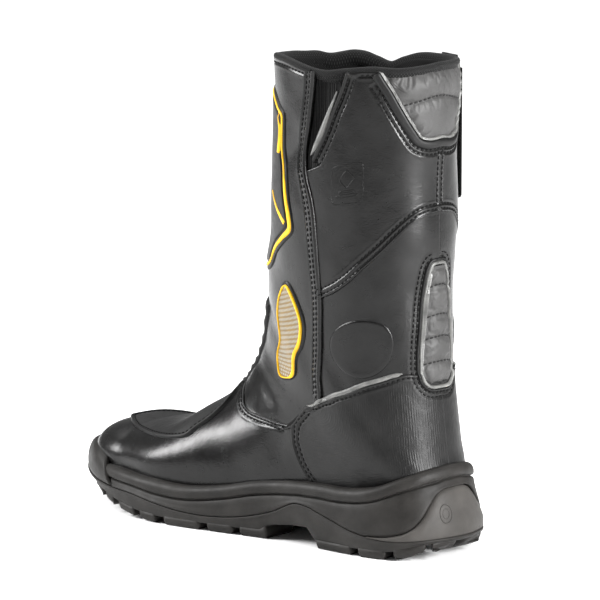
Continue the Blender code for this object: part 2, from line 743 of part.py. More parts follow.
def build_emblem(looks, into, shaft):
    """A plain yellow-edged shield on the shin."""
    half = [(0.630, 0.0), (0.640, 0.175), (0.700, 0.262), (0.752, 0.352), (0.785, 0.345),
            (0.845, 0.300), (0.905, 0.290), (0.935, 0.270), (0.957, 0.185), (0.965, 0.0)]
    around = half[:-1] + [(s, -t) for s, t in half[::-1]][:-1]
    pairs = around + [(0.630, -0.004)]
    sheet("shin_shield_edge", 45, 3, strip(pairs, 0.026), OVERLAY_LIFT + OVERLAY, OVERLAY,
          looks["yellow"], into, shaft)


def build_collar(looks, into, shaft):
    """The bound rim, a rolled edge that sits on leather and lining."""
    count = 33
    points = []
    for i in range(count):
        t = 0.999 - 1.998 * i / (count - 1)
        x, y, z = on_last(1.0, t, -(LINING_GAP + LINING) / 2)
        points.append((x, y, z + 0.4 + 1.9))
    tube("collar_binding", points, 1.9, looks["binding"], into, shaft, 1)


def strap_frame():
    """Centre of the strap's sewn end on the inner side, and the way along and out of the shaft."""
    t = -0.665
    here = on_last(0.985, t, 0)
    along = on_last(0.985, t - 0.03, 0) - on_last(0.985, t + 0.03, 0)
    along[2] = 0
    along /= np.linalg.norm(along)
    out = np.cross(along, (0, 0, 1.0))
    if out[0] > 0:
        out = -out
    return here, along, out


def build_strap(looks, into, shaft, pivot):
    """A webbing pull loop that hangs outside the shaft, and the tab that holds it."""
    here, along, out = strap_frame()
    half, drop, web, gap = 9.0, 82.0, 1.2, 2.2
    top = STRAP_Z - 2.0
    inner, outer = 0.9, 0.9 + web + gap

    def section(points):
        loops = []
        for x in (-half, half):
            loops.append([here + along * x + out * lift + np.array([0, 0, z - here[2]])
                          for lift, z in points])
        return loops
    low = top - drop
    outline = [(inner, top), (inner, low + 2.2), (inner + 1.6, low), (outer + web - 1.6, low),
               (outer + web, low + 2.2), (outer + web, top), (outer, top - 4),
               (outer, low + 2.6), (outer - 0.7, low + web + 0.3), (inner + web + 0.7, low + web + 0.3),
               (inner + web, low + 2.6), (inner + web, top - 4)]
    loft("pull_strap", section(outline), looks["webbing"], into, pivot)
    tab = [(0.9, 298.6), (0.9, 302.6), (2.4, 302.6), (2.4, 298.6)]
    loft("strap_tab", section(tab), looks["leather"], into, shaft)


def empty(name, place):
    made = bpy.data.objects.new(name, None)
    bpy.context.scene.collection.objects.link(made)
    made.location = [c * MM for c in place]
    return made


def main():
    clear_scene()
    parts = collection("firefighter_boot")
    tools = collection("cutters")
    here, _, out = strap_frame()
    foot = empty("foot_frame", (0, 0, 0))
    shaft = empty("ankle_pivot", (0, *ANKLE_AXIS))
    swing = here + out * 3.2
    pivot = empty("strap_pivot", (swing[0], swing[1], STRAP_Z - 1.3))
    looks = {
        "leather": material("black_leather", (0.030, 0.030, 0.033), 0.45),
        "counter": material("embossed_leather", (0.028, 0.028, 0.031), 0.55),
        "guard": material("guard_leather", (0.034, 0.034, 0.037), 0.40),
        "elastic": material("elastic", (0.012, 0.012, 0.013), 0.85),
        "pad": material("grey_pad", (0.20, 0.20, 0.21), 0.60),
        "lining": material("lining", (0.025, 0.025, 0.028), 0.95),
        "binding": material("binding", (0.020, 0.020, 0.022), 0.80),
        "piping": material("reflective_piping", (0.55, 0.56, 0.57), 0.40),
        "reflex": material("reflex_mesh", (0.55, 0.50, 0.32), 0.60),
        "yellow": material("yellow_trim", (0.80, 0.52, 0.06), 0.50),
        "webbing": material("webbing", (0.018, 0.018, 0.019), 0.85),
        "rubber": material("tread_rubber", (0.055, 0.052, 0.050), 0.70),
        "midsole": material("midsole_foam", (0.060, 0.057, 0.055), 0.65),
        "toe_bumper": material("bumper_rubber", (0.060, 0.058, 0.056), 0.62),
        "heel_clip": material("heel_rubber", (0.062, 0.059, 0.057), 0.62),
        "toe_cap": material("cap_steel", (0.50, 0.50, 0.52), 0.35, 1.0),
        "stiffener": material("stiffener_board", (0.35, 0.30, 0.24), 0.80),
        "insole_board": material("lasting_board", (0.45, 0.38, 0.28), 0.85),
        "shank_plate": material("shank_steel", (0.45, 0.45, 0.47), 0.40, 1.0),
        "puncture_plate": material("plate_textile", (0.70, 0.66, 0.40), 0.75),
        "footbed": material("footbed_foam", (0.10, 0.10, 0.11), 0.90),
    }
    build_outsole(looks, parts, tools, foot)
    build_cup(looks, parts, tools, foot)
    build_insoles(looks, parts, foot)
    build_mosaic(looks, parts, foot, shaft)
    build_lining(looks, parts, foot)
    build_stiffeners(looks, parts, foot)
    build_overlays(looks, parts, foot, shaft)
    build_emblem(looks, parts, shaft)
    build_collar(looks, parts, shaft)
    build_strap(looks, parts, shaft, pivot)


main()
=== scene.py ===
"""Looks of a tall pull-on firefighter boot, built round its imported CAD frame.

The upper is sewn from panels that lie on one surface, the last, read at (s, t): s runs from the toe
tip (0) to the rim (1), t from the ridge (0) down either side to the feather edge or back seam (1).
+t is the boot's outer side.  Tables and helpers work in millimetres; meshes are made in metres.
"""
import math

import bmesh
import bpy
import numpy as np
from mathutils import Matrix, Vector
from mathutils.bvhtree import BVHTree
from mathutils.kdtree import KDTree


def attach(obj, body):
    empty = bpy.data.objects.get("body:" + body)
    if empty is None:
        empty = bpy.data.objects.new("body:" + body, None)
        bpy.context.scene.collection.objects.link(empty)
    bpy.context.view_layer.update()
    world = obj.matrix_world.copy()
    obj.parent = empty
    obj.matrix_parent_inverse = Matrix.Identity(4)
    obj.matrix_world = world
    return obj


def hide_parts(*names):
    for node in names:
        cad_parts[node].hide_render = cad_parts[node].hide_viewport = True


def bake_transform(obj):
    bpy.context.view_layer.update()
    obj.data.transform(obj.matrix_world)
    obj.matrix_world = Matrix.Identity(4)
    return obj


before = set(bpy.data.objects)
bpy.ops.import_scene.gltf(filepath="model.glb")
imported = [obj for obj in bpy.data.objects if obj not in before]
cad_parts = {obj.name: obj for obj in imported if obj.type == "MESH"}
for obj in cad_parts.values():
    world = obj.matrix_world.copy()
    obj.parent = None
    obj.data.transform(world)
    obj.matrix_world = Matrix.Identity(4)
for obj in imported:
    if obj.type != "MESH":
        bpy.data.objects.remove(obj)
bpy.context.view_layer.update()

MM = 0.001
ANKLE_LOW, ANKLE_HIGH = (0, 0, 0.088), (0, 0, 0.160)   # the ankle lies between these heights
RIM_PER_S = 461.0          # mm that the rim rises for a step of 1 in s
UV_S, UV_T = 440.0, 150.0  # mm for a step of 1 in s and t, for the weave coordinates
SHAFT_SIDE = 118.0         # mm across one side of the shaft, from ridge to back seam
SIDES = ((1, "outer"), (-1, "inner"))

# ---------------------------------------------------------------- the last, as in the CAD model
# base y, base z, ridge y, ridge z, outer and inner half width, base width ratio,
# level of the widest point, power of the upper and of the lower arc
SECTIONS = [
    (-95, 20, -97, 54, 47, 46, 0.97, 0.36, 2.5, 2.2),
    (-62, 18, -66, 61, 51, 47, 0.96, 0.36, 2.3, 2.2),
    (-25, 18, -44, 73, 48, 43, 0.94, 0.35, 2.2, 2.2),
    (20, 21, -22, 86, 42, 39, 0.90, 0.36, 2.1, 2.2),
    (70, 27, -8, 102, 39, 37, 0.86, 0.40, 2.1, 2.2),
    (116, 30, 0, 122, 40, 39, 0.64, 0.44, 2.1, 2.2),
    (143, 34, 4, 142, 42, 41, 0.08, 0.47, 2.1, 2.2),
    (140, 62, 6, 159, 43, 42, 0.02, 0.48, 2.1, 2.2),
    (135, 100, 8, 177, 44, 43, 0.02, 0.49, 2.1, 2.2),
    (133, 145, 12, 198, 47, 46, 0.02, 0.50, 2.1, 2.2),
    (134, 198, 14, 225, 49, 49, 0.02, 0.50, 2.1, 2.2),
    (134, 245, 15, 255, 49, 49, 0.02, 0.50, 2.1, 2.2),
    (135, 290, 16, 290, 49, 49, 0.02, 0.50, 2.1, 2.2),
    (135, 302, 16, 302, 49, 49, 0.02, 0.50, 2.1, 2.2),
]
TOE_TIP = (-8.0, -141.0, 24.0)
NOSE = 0.16
CLOSED_FROM = 0.535        # from this s on, the surface goes all the way round

# panel borders, as (x, y) tables between s and t
SIDE_SEAM = [(0.40, 0.53), (0.48, 0.53), (0.53, 0.49), (0.58, 0.50), (0.65, 0.525), (0.70, 0.526),
             (0.76, 0.512), (0.82, 0.489), (0.855, 0.460), (0.88, 0.458), (0.92, 0.474), (1.00, 0.500)]
VAMP_TOP = [(0.00, 0.405), (0.20, 0.408), (0.50, 0.4135), (0.70, 0.418), (0.80, 0.433), (0.90, 0.454),
            (1.00, 0.473)]
COUNTER_FRONT = [(0.53, 0.487), (0.56, 0.477), (0.63, 0.464), (0.69, 0.457), (0.78, 0.450),
                 (0.89, 0.446), (1.00, 0.440)]
COUNTER_TOP = [(0.465, 0.520), (0.50, 0.553), (0.56, 0.578), (0.64, 0.606), (0.70, 0.626),
               (0.78, 0.647), (0.86, 0.664), (0.93, 0.668), (1.00, 0.662)]
DIAGONAL = [(0.52, 0.692), (0.60, 0.716), (0.66, 0.737), (0.72, 0.761), (0.77, 0.779), (0.825, 0.799),
            (0.87, 0.813), (0.92, 0.824), (1.00, 0.829)]
GUSSET_REAR = [(0.862, 0.480), (0.885, 0.515), (0.91, 0.549), (0.94, 0.582), (0.965, 0.612),
               (1.00, 0.645)]
CALF_EDGE = [(0.750, 1.006), (0.772, 0.990), (0.80, 0.974), (0.832, 0.954), (0.862, 0.937),
             (0.89, 0.923), (0.913, 0.9135), (0.945, 0.9105), (1.00, 0.9115)]
# height of the collar's edge above the plain rim, by t
RIM_WAVE = [(-1.0, 0.0), (-0.85, -0.2), (-0.74, -1.0), (-0.60, -1.8), (-0.50, -3.0), (-0.44, -6.0),
            (-0.385, -9.4), (-0.335, -6.4), (-0.29, -3.4), (-0.25, -3.0), (-0.20, -4.0), (-0.15, -4.6),
            (-0.10, -3.0), (-0.04, -2.6), (0.08, -1.0), (0.22, 0.4), (0.34, 0.2), (0.42, -2.0),
            (0.49, -4.0), (0.56, -4.6), (0.64, -2.6), (0.74, -1.2), (0.82, -2.2), (0.92, -1.2),
            (1.0, 0.0)]


def curve(table, x):
    """Smooth curve through rows of (x, y, ...), read at an array of x."""
    table = np.asarray(table, float)
    xs, ys = table[:, 0], table[:, 1:]
    slope = np.gradient(ys, xs, axis=0)
    x = np.clip(np.asarray(x, float), xs[0], xs[-1])
    i = np.clip(np.searchsorted(xs, x) - 1, 0, len(xs) - 2)
    h = (xs[i + 1] - xs[i])[..., None]
    u = (x - xs[i])[..., None] / h
    value = ((2 * u**3 - 3 * u**2 + 1) * ys[i] + (u**3 - 2 * u**2 + u) * h * slope[i]
             + (3 * u**2 - 2 * u**3) * ys[i + 1] + (u**3 - u**2) * h * slope[i + 1])
    return value[..., 0] if ys.shape[1] == 1 else value


def smooth(x):
    x = np.clip(x, 0, 1)
    return x * x * (3 - 2 * x)


def unit(ways):
    return ways / np.maximum(np.linalg.norm(ways, axis=-1, keepdims=True), 1e-9)


def length_along(points):
    """Distance of each point from the first, along the line through them."""
    return np.concatenate([[0], np.cumsum(np.linalg.norm(np.diff(points, axis=0), axis=1))])


def tree_of(points):
    tree = KDTree(len(points))
    for i, p in enumerate(points):
        tree.insert(p, i)
    tree.balance()
    return tree


def distances(tree, grid):
    """Distance from each point of a grid to the nearest point in a tree."""
    return np.array([tree.find(p)[2] for p in grid.reshape(-1, 3)]).reshape(grid.shape[:-1])


def section_table():
    mids = np.array([(0.45 * r[0] + 0.55 * r[2], 0.45 * r[1] + 0.55 * r[3]) for r in SECTIONS])
    run = length_along(mids)
    return [(NOSE + (1 - NOSE) * d / run[-1], *row) for d, row in zip(run, SECTIONS)]


SECTION_TABLE = section_table()


def last_row(s, ts):
    """Points of the last at one s for every t, in mm."""
    row = curve(SECTION_TABLE, max(s, NOSE)).copy()
    centre = float(np.interp(s, [0, NOSE, NOSE + .12, NOSE + .3, 1], [TOE_TIP[0], -4, -1, 0, 0]))
    if s < NOSE:
        u = 1 - math.cos(math.pi / 2 * s / NOSE)
        wide = (1 - (1 - u)**2.3)**(1 / 2.3)
        high = (1 - (1 - u)**2.6)**(1 / 2.6)
        first = row.copy()
        row[0] = TOE_TIP[1] + (first[0] - TOE_TIP[1]) * u
        row[1] = TOE_TIP[2] + (first[1] - TOE_TIP[2]) * (1 - (1 - u)**1.5)
        row[2] = row[0] + (first[2] - first[0]) * u
        row[3] = row[1] + (first[3] - first[1]) * high
        row[4:6] = first[4:6] * wide
    base, ridge = row[0:2], row[2:4]
    height = max(float(np.hypot(*(ridge - base))), 1e-6)
    along = (ridge - base) / height
    ratio = min(max(row[6], 0.0), 0.985)
    level, upper, lower = row[7:10]
    end = math.pi - math.asin(ratio**(lower / 2))
    foot = abs(math.cos(end))**(2 / lower)
    angle = np.linspace(0, end, 1201)
    sine, cosine = np.sin(angle), np.cos(angle)
    across = np.abs(sine)**(2 / np.where(cosine >= 0, upper, lower))
    rise = np.where(cosine >= 0, level + (1 - level) * np.abs(cosine)**(2 / upper),
                    level - level / foot * np.abs(cosine)**(2 / lower)) * height
    points = np.zeros((len(ts), 3))
    for side, wide in ((1, row[4]), (-1, row[5])):
        x = across * wide
        run = np.concatenate([[0], np.cumsum(np.hypot(np.diff(x), np.diff(rise)))])
        here = ts >= 0 if side > 0 else ts < 0
        at = np.abs(ts[here]) * run[-1]
        d = np.interp(at, run, rise)
        points[here] = np.stack([centre + side * np.interp(at, run, x), base[0] + along[0] * d,
                                 base[1] + along[1] * d], -1)
    return points


def last_grid():
    """The last sampled once, with its normals and its mm per step of s and of t."""
    ts = np.linspace(-1, 1, 401)
    spare = 60
    rows = []
    for s in S_KNOTS:
        ring = last_row(s, ts)
        if s >= CLOSED_FROM:
            rows.append(np.vstack([ring[-1 - spare:-1], ring, ring[1:spare + 1]]))
        else:
            beyond = np.arange(1, spare + 1)[:, None]
            before = ring[0] - beyond[::-1] * (ring[1] - ring[0])
            rows.append(np.vstack([before, ring, ring[-1] + beyond * (ring[-1] - ring[-2])]))
    grid = np.array(rows)
    by_s = np.gradient(grid, S_KNOTS, axis=0)
    by_t = np.gradient(grid, T_KNOTS, axis=1)
    normal = unit(np.cross(by_t, by_s))
    scale = np.stack([np.linalg.norm(by_s, axis=2), np.linalg.norm(by_t, axis=2)], -1)
    return grid, normal, scale


S_KNOTS = np.linspace(0.004, 1.0, 320)
T_KNOTS = np.linspace(-1.3, 1.3, 521)
GRID, NORMAL, SCALE = last_grid()


def weights(x, knots):
    place = (x - knots[0]) / (knots[1] - knots[0])
    i = np.clip(np.floor(place).astype(int), 1, len(knots) - 3)
    u = place - i
    return i - 1, np.stack([(-u**3 + 2 * u**2 - u) / 2, (3 * u**3 - 5 * u**2 + 2) / 2,
                            (-3 * u**3 + 4 * u**2 + u) / 2, (u**3 - u**2) / 2], -1)


def read(values, s, t):
    """Smooth reading of a grid at arrays s and t."""
    i, a = weights(np.clip(s, S_KNOTS[0], 1.0), S_KNOTS)
    j, b = weights(np.clip(t, T_KNOTS[0], T_KNOTS[-1]), T_KNOTS)
    total = 0
    for m in range(4):
        for n in range(4):
            total = total + (a[..., m] * b[..., n])[..., None] * values[i + m, j + n]
    return total


def normal_at(s, t):
    return unit(read(NORMAL, s, t))


def surf(s, t, lift=0.0):
    """Points on the last, in mm; past s = 1 the rim carries on straight up."""
    s, t = np.broadcast_arrays(np.asarray(s, float), np.asarray(t, float))
    point = read(GRID, s, t)
    point[..., 2] += np.maximum(s - 1.0, 0) * RIM_PER_S
    return point + normal_at(s, t) * np.asarray(lift)[..., None]


def rim_s(t):
    t = np.asarray(t, float)
    t = np.where(t > 1, t - 2, np.where(t < -1, t + 2, t))
    return 1.0 + curve(RIM_WAVE, t) / RIM_PER_S


# ---------------------------------------------------------------- relief of the leather
# soft folds and dents on both sides: s, t, length mm, width mm, degrees from the t direction, depth mm
DENTS = [(0.447, 0.60, 28, 8, -50, 1.3), (0.428, 0.46, 12, 4, 80, 0.5), (0.478, 0.20, 46, 8, 6, 1.3),
         (0.515, 0.24, 50, 9, 4, 1.4), (0.560, 0.20, 44, 9, -6, 1.0), (0.610, 0.42, 34, 14, -55, 1.1),
         (0.600, 0.66, 34, 11, -28, 0.9), (0.705, 0.66, 46, 15, 24, 1.1), (0.760, 0.88, 30, 14, 70, 0.8),
         (0.800, 0.62, 44, 20, 62, 1.0), (0.900, 0.74, 40, 15, 55, 0.8), (0.930, 0.40, 44, 9, 86, 1.0),
         (0.860, 0.16, 60, 22, 80, 0.7), (0.700, 0.10, 54, 16, 12, 0.8), (0.360, 0.62, 40, 15, 20, 0.6),
         (0.240, 0.00, 50, 46, 0, 1.1), (0.878, 0.40, 20, 6, 50, 1.0), (0.770, 0.60, 30, 12, 75, 1.0)]


def wave_set(seed, count, shortest, longest, height):
    """Waves in random directions, with lengths between two limits and one height, in mm."""
    chance = np.random.default_rng(seed)
    way = unit(chance.normal(size=(count, 3)))
    return (way * 2 * np.pi / chance.uniform(shortest, longest, (count, 1)),
            chance.uniform(0, 2 * np.pi, count), height)


def ripple(waves, place):
    ways, phase, height = waves
    return height * np.sin(place @ ways.T + phase).sum(-1)


WAVES = [wave_set(11, 16, 42, 90, 0.17), wave_set(12, 14, 13, 26, 0.024)]


def relief(s, t):
    """Height of the leather's own unevenness over the last, in mm."""
    place = surf(s, t)
    height = sum(ripple(waves, place) for waves in WAVES)
    height *= np.interp(s, [0, 0.25, 0.42, 0.5], [0.25, 0.35, 0.9, 1.0])
    around = np.where(np.abs(t) > 1, 2 - np.abs(t), np.abs(t))
    for s0, t0, long, wide, angle, depth in DENTS:
        scale = read(SCALE, np.array(s0), np.array(t0))
        a, b = (around - t0) * scale[1], (s - s0) * scale[0]
        turn = math.radians(angle)
        u = a * math.cos(turn) + b * math.sin(turn)
        v = b * math.cos(turn) - a * math.sin(turn)
        size = depth * (0.85 + 0.15 * np.sin(np.pi * t))
        height -= size * np.exp(-(u / long)**2 - (v / wide)**2)
    return height


# ---------------------------------------------------------------- paths on the last
def heading(s, t, closed):
    """Unit way along a path at each point, as (over t, over s), and the mm per step of s and t."""
    scale = read(SCALE, s, t)
    way = np.stack([np.gradient(t) * scale[:, 1], np.gradient(s) * scale[:, 0]], -1)
    if closed:
        way[0] = way[-1] = (way[0] + way[-1]) / 2
    return unit(way), scale


def trace(pairs, step=1.0, shift=0.0, trim=(0.0, 0.0), closed=False):
    """Evenly spaced s and t along (s, t) pairs, moved shift mm to the left of the way along."""
    s, t = np.asarray(pairs, float).T
    run = length_along(surf(s, t))
    table = np.stack([run, s, t], -1)
    if closed:
        once_round = [run[-1], 0, 0]
        table = np.vstack([table[-3:-1] - once_round, table, table[1:3] + once_round])
    s, t = curve(table, np.linspace(0, run[-1], max(int(run[-1] / 0.8), 24))).T
    if shift:
        way, scale = heading(s, t, closed)
        s, t = s + shift * way[:, 0] / scale[:, 0], t - shift * way[:, 1] / scale[:, 1]
    run = length_along(surf(s, t))
    count = max(int(round((run[-1] - sum(trim)) / step)) + 1, 3)
    at = np.linspace(trim[0], run[-1] - trim[1], count)
    return np.interp(at, run, s), np.interp(at, run, t)


def along(table, lows, flip=False):
    """(s, t) pairs from an (x, y) table: x is t unless flip, when x is s."""
    value = curve(table, np.asarray(lows, float))
    return list(zip(lows, value)) if flip else list(zip(value, lows))


def side_t(s):
    return curve(SIDE_SEAM, s)


def ring(outline):
    """Closed (s, t) outline from points in order."""
    return outline + outline[:1]


def oval(s_mid, t_mid, s_half, t_half, power=2.3, lean=0.0, taper=0.0):
    """Closed outline of a rounded oval from its top; lean raises its rear, taper narrows its top."""
    pairs = []
    for i in range(20):
        a = 2 * math.pi * i / 20
        c, d = math.cos(a), math.sin(a)
        y = math.copysign(abs(c)**(2 / power), c)
        x = math.copysign(abs(d)**(2 / power), d)
        pairs.append((s_mid + s_half * y + lean * t_half * x, t_mid + t_half * x * (1 - taper * y)))
    return ring(pairs)


GUARD_EDGE = [(0.092, 0.02), (0.097, 0.13), (0.120, 0.27), (0.150, 0.39), (0.190, 0.482),
              (0.230, 0.530), (0.268, 0.550), (0.296, 0.532), (0.314, 0.465), (0.337, 0.385),
              (0.362, 0.285), (0.385, 0.190), (0.404, 0.150)]
LEAF = [(0.668, 0.335), (0.655, 0.402), (0.634, 0.426), (0.606, 0.410), (0.570, 0.370),
        (0.535, 0.358), (0.520, 0.325), (0.543, 0.262), (0.580, 0.284), (0.610, 0.278), (0.640, 0.296)]
SHIELD = [(0.622, 0.0), (0.632, 0.130), (0.660, 0.205), (0.700, 0.270), (0.738, 0.352),
          (0.764, 0.406), (0.785, 0.402), (0.805, 0.388), (0.835, 0.374), (0.875, 0.350),
          (0.905, 0.346), (0.927, 0.340), (0.938, 0.290), (0.950, 0.235), (0.962, 0.130), (0.967, 0.0)]
FLASHES = [([(0.926, 0.296), (0.908, 0.312), (0.890, 0.314), (0.868, 0.310)], 1.5),
           ([(0.806, 0.272), (0.794, 0.296), (0.781, 0.328), (0.770, 0.366)], 1.7)]
ACHILLES_S, ACHILLES_TAPER = 0.7165, 0.34
ACHILLES = oval(ACHILLES_S, 1.0, 0.0600, 0.062, 4.5, taper=ACHILLES_TAPER)
ANKLE_DISC = oval(0.6685, 0.703, 0.033, 0.129, 2.1, 0.18)
SEAM_S = np.linspace(0.552, 1.0, 14)

VAMP_TOP_T = 0.53          # the vamp's top border runs to this t, and the counter's front edge starts there
GUSSET_LOW = 0.872         # s of the gusset's lower corner

# rows of stitches on the leather, on both sides: path, distances to its left, trims at its ends
ROWS = [
    ([(s, side_t(s)) for s in SEAM_S], (1.7, 4.9), (0, 3)),
    ([(s, t * VAMP_TOP_T) for s, t in along(VAMP_TOP, np.linspace(0.24, 1.0, 9))], (-2.0, -4.8), (0, 2)),
    ([(0.526, 0.474), (0.508, 0.499)] + along(COUNTER_FRONT, np.linspace(VAMP_TOP_T, 1.0, 8)),
     (2.0, 4.6), (3, 2)),
    (along(COUNTER_TOP, np.linspace(0.474, 0.92, 12)), (-2.6,), (3, 0)),
    (along(DIAGONAL, np.linspace(0.535, 1.0, 12)), (2.2, 5.2), (0, 1)),
    (along(GUSSET_REAR, np.linspace(GUSSET_LOW, 0.992, 8), True), (-3.0, -6.0), (1, 1)),
    (along(CALF_EDGE, np.linspace(0.772, 1.0, 12)), (-6.6, -9.4), (2, 0)),
    ([(0.838, 1.0), (0.862, 1.0), (0.895, 1.0)], (2.1,), (0, 0)),
    ([(rim_s(t) - 0.0075, t) for t in np.linspace(0.02, 0.455, 9)], (0,), (2, 1)),
    ([(rim_s(t) - 0.0075, t) for t in np.linspace(0.685, 0.745, 4)], (0,), (1, 1)),
    (GUARD_EDGE, (3.2,), (0, 0)),
]
RIM_ROWS_FROM = 0.93       # above this s, rows follow the rim of their own side


def all_rows(step):
    """Every leather stitch row as (s, t) arrays, on both sides of the boot."""
    for pairs, shifts, trim in ROWS:
        for shift in shifts:
            s, t = trace(pairs, step, shift, trim)
            yield s, t
            yield s + (rim_s(-t) - rim_s(t)) * smooth((s - RIM_ROWS_FROM) / 0.05), -t
    for shift in (3.4, 6.2):
        yield trace(ACHILLES, step, shift, (4, 4), closed=True)


GROOVES = tree_of(np.vstack([surf(s, t) for s, t in all_rows(0.6)]))


def grooves(points):
    """How far the stitches pull the leather in at each point of the last, and lift it beside them."""
    far = distances(GROOVES, points)
    return 0.55 * np.exp(-far**2) - 0.12 * np.exp(-((far - 1.7) / 0.8)**2)


# ---------------------------------------------------------------- meshes
def add_object(name, points, faces, look, flat=None):
    """A mesh object from points in mm; flat holds weave coordinates in mm for each point."""
    mesh = bpy.data.meshes.new(name)
    mesh.from_pydata((np.asarray(points) * MM).tolist(), [], [list(f) for f in faces])
    if flat is not None:
        layer = mesh.uv_layers.new(name="weave")
        corner = np.zeros(len(mesh.loops), np.int32)
        mesh.loops.foreach_get("vertex_index", corner)
        layer.data.foreach_set("uv", np.asarray(flat, np.float32)[corner].ravel())
    mesh.validate()
    mesh.shade_smooth()
    made = bpy.data.objects.new(name, mesh)
    bpy.context.scene.collection.objects.link(made)
    made.data.materials.append(look)
    return made


def quads(rows, columns, closed=False):
    i = np.arange(rows * columns).reshape(rows, columns)
    if closed:
        i = np.hstack([i, i[:, :1]])
    return np.stack([i[:-1, :-1], i[:-1, 1:], i[1:, 1:], i[1:, :-1]], -1).reshape(-1, 4)


def shell(name, outer, inner, look, flat):
    """A closed skin between two grids of the same size; outer's faces look out."""
    rows, columns = outer.shape[:2]
    i = np.arange(rows * columns).reshape(rows, columns)
    border = np.concatenate([i[0, :-1], i[:-1, -1], i[-1, :0:-1], i[:0:-1, 0]])
    behind, count = np.roll(border, -1), rows * columns
    faces = np.vstack([quads(rows, columns), quads(rows, columns)[:, ::-1] + count,
                       np.stack([behind, border, border + count, behind + count], -1)])
    points = np.vstack([outer.reshape(-1, 3), inner.reshape(-1, 3)])
    return add_object(name, points, faces, look, np.vstack([flat, flat]))


def eased(count, ends=0.55):
    """count steps from 0 to 1, closer together at both ends."""
    u = np.linspace(0, 1, count)
    return u - ends * np.sin(2 * np.pi * u) / (2 * np.pi)


def run_from(points, axis, from_start):
    """Distance in mm of each grid point from one border, along the grid."""
    step = np.linalg.norm(np.diff(points, axis=axis), axis=-1)
    zero = np.zeros_like(np.take(step, [0], axis=axis))
    run = np.concatenate([zero, np.cumsum(step, axis=axis)], axis=axis)
    return run if from_start else np.take(run, [-1], axis=axis) - run


def fold(run, drop=1.6, round_mm=1.1, plump=0.35):
    """Rounded free edge of a panel."""
    x = np.clip(1 - run / round_mm, 0, 1)
    return -drop * (1 - np.sqrt(np.maximum(1 - x * x, 0))) + plump * np.exp(-((run - 2.4) / 1.6)**2)


def tuck(run, reach, depth=2.4):
    """A border that dives under its neighbour, reach mm wide."""
    return -depth * smooth((reach + 1.2 - run) / 3.0)


def gather(parts):
    """Points and faces of several meshes as one."""
    points, faces, count = [], [], 0
    for more, sides in parts:
        points.append(more)
        faces += [tuple(v + count for v in f) for f in sides]
        count += len(more)
    return np.vstack(points), faces


SKIN = {"points": [], "faces": [], "count": 0}


def remember(points, faces):
    """Keep a surface for stitches and pipings to lie on."""
    SKIN["points"].append(np.asarray(points))
    SKIN["faces"].append(np.asarray(faces) + SKIN["count"])
    SKIN["count"] += len(points)


def sewn_on(name, outer, inner, look, flat, normal, nodes, body=None):
    """A piece of the sewn skin, its outer grid turned to face out."""
    rows, columns = outer.shape[:2]
    i, j = rows // 2, columns // 2
    facing = np.cross(outer[i, j + 1] - outer[i, j], outer[i + 1, j] - outer[i, j])
    if np.dot(facing, normal[i, j]) < 0:
        outer, inner, flat = outer[:, ::-1], inner[:, ::-1], flat[:, ::-1]
    remember(outer.reshape(-1, 3), quads(rows, columns))
    return finish_piece(shell(name, outer, inner, look, flat.reshape(-1, 2)), nodes, body)


def panel(name, where, size, lift, look, nodes, folds="", tucks="", reach=6.0, thick=1.9,
          stitched=True, calm=1.0):
    """A leather panel: where(r, c) gives s and t; folds and tucks name borders (low high left right)."""
    rows, columns = size
    r, c = np.meshgrid(eased(rows), eased(columns), indexing="ij")
    s, t = where(r, c)
    base = surf(s, t)
    runs = {"low": run_from(base, 0, True), "high": run_from(base, 0, False),
            "left": run_from(base, 1, True), "right": run_from(base, 1, False)}
    height = (lift(s, t, runs) if callable(lift) else lift) + calm * relief(s, t)
    if stitched:
        height = height - grooves(base)
    for side in folds.split():
        height = height + fold(runs[side])
    for side in tucks.split():
        height = height + tuck(runs[side], reach)
    normal = normal_at(s, t)
    outer, inner = base + normal * height[..., None], base + normal * (height - thick)[..., None]
    return sewn_on(name, outer, inner, look, weave_at(s, t), normal, nodes)


def finish_piece(piece, nodes=(), body=None):
    """Parent the piece to the body that moves it, or bake its transform, and hide the CAD nodes it stands
    for.
    """
    if body:
        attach(piece, body)
    else:
        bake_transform(piece)
        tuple(ANKLE_LOW)
        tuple(ANKLE_HIGH)
    nodes = [nodes] if isinstance(nodes, str) else list(nodes)
    if nodes:
        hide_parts(*nodes)
    return piece


def weave_at(s, t):
    """Flat coordinates in mm for materials with a direction."""
    return np.stack([t * UV_T, s * UV_S], -1)


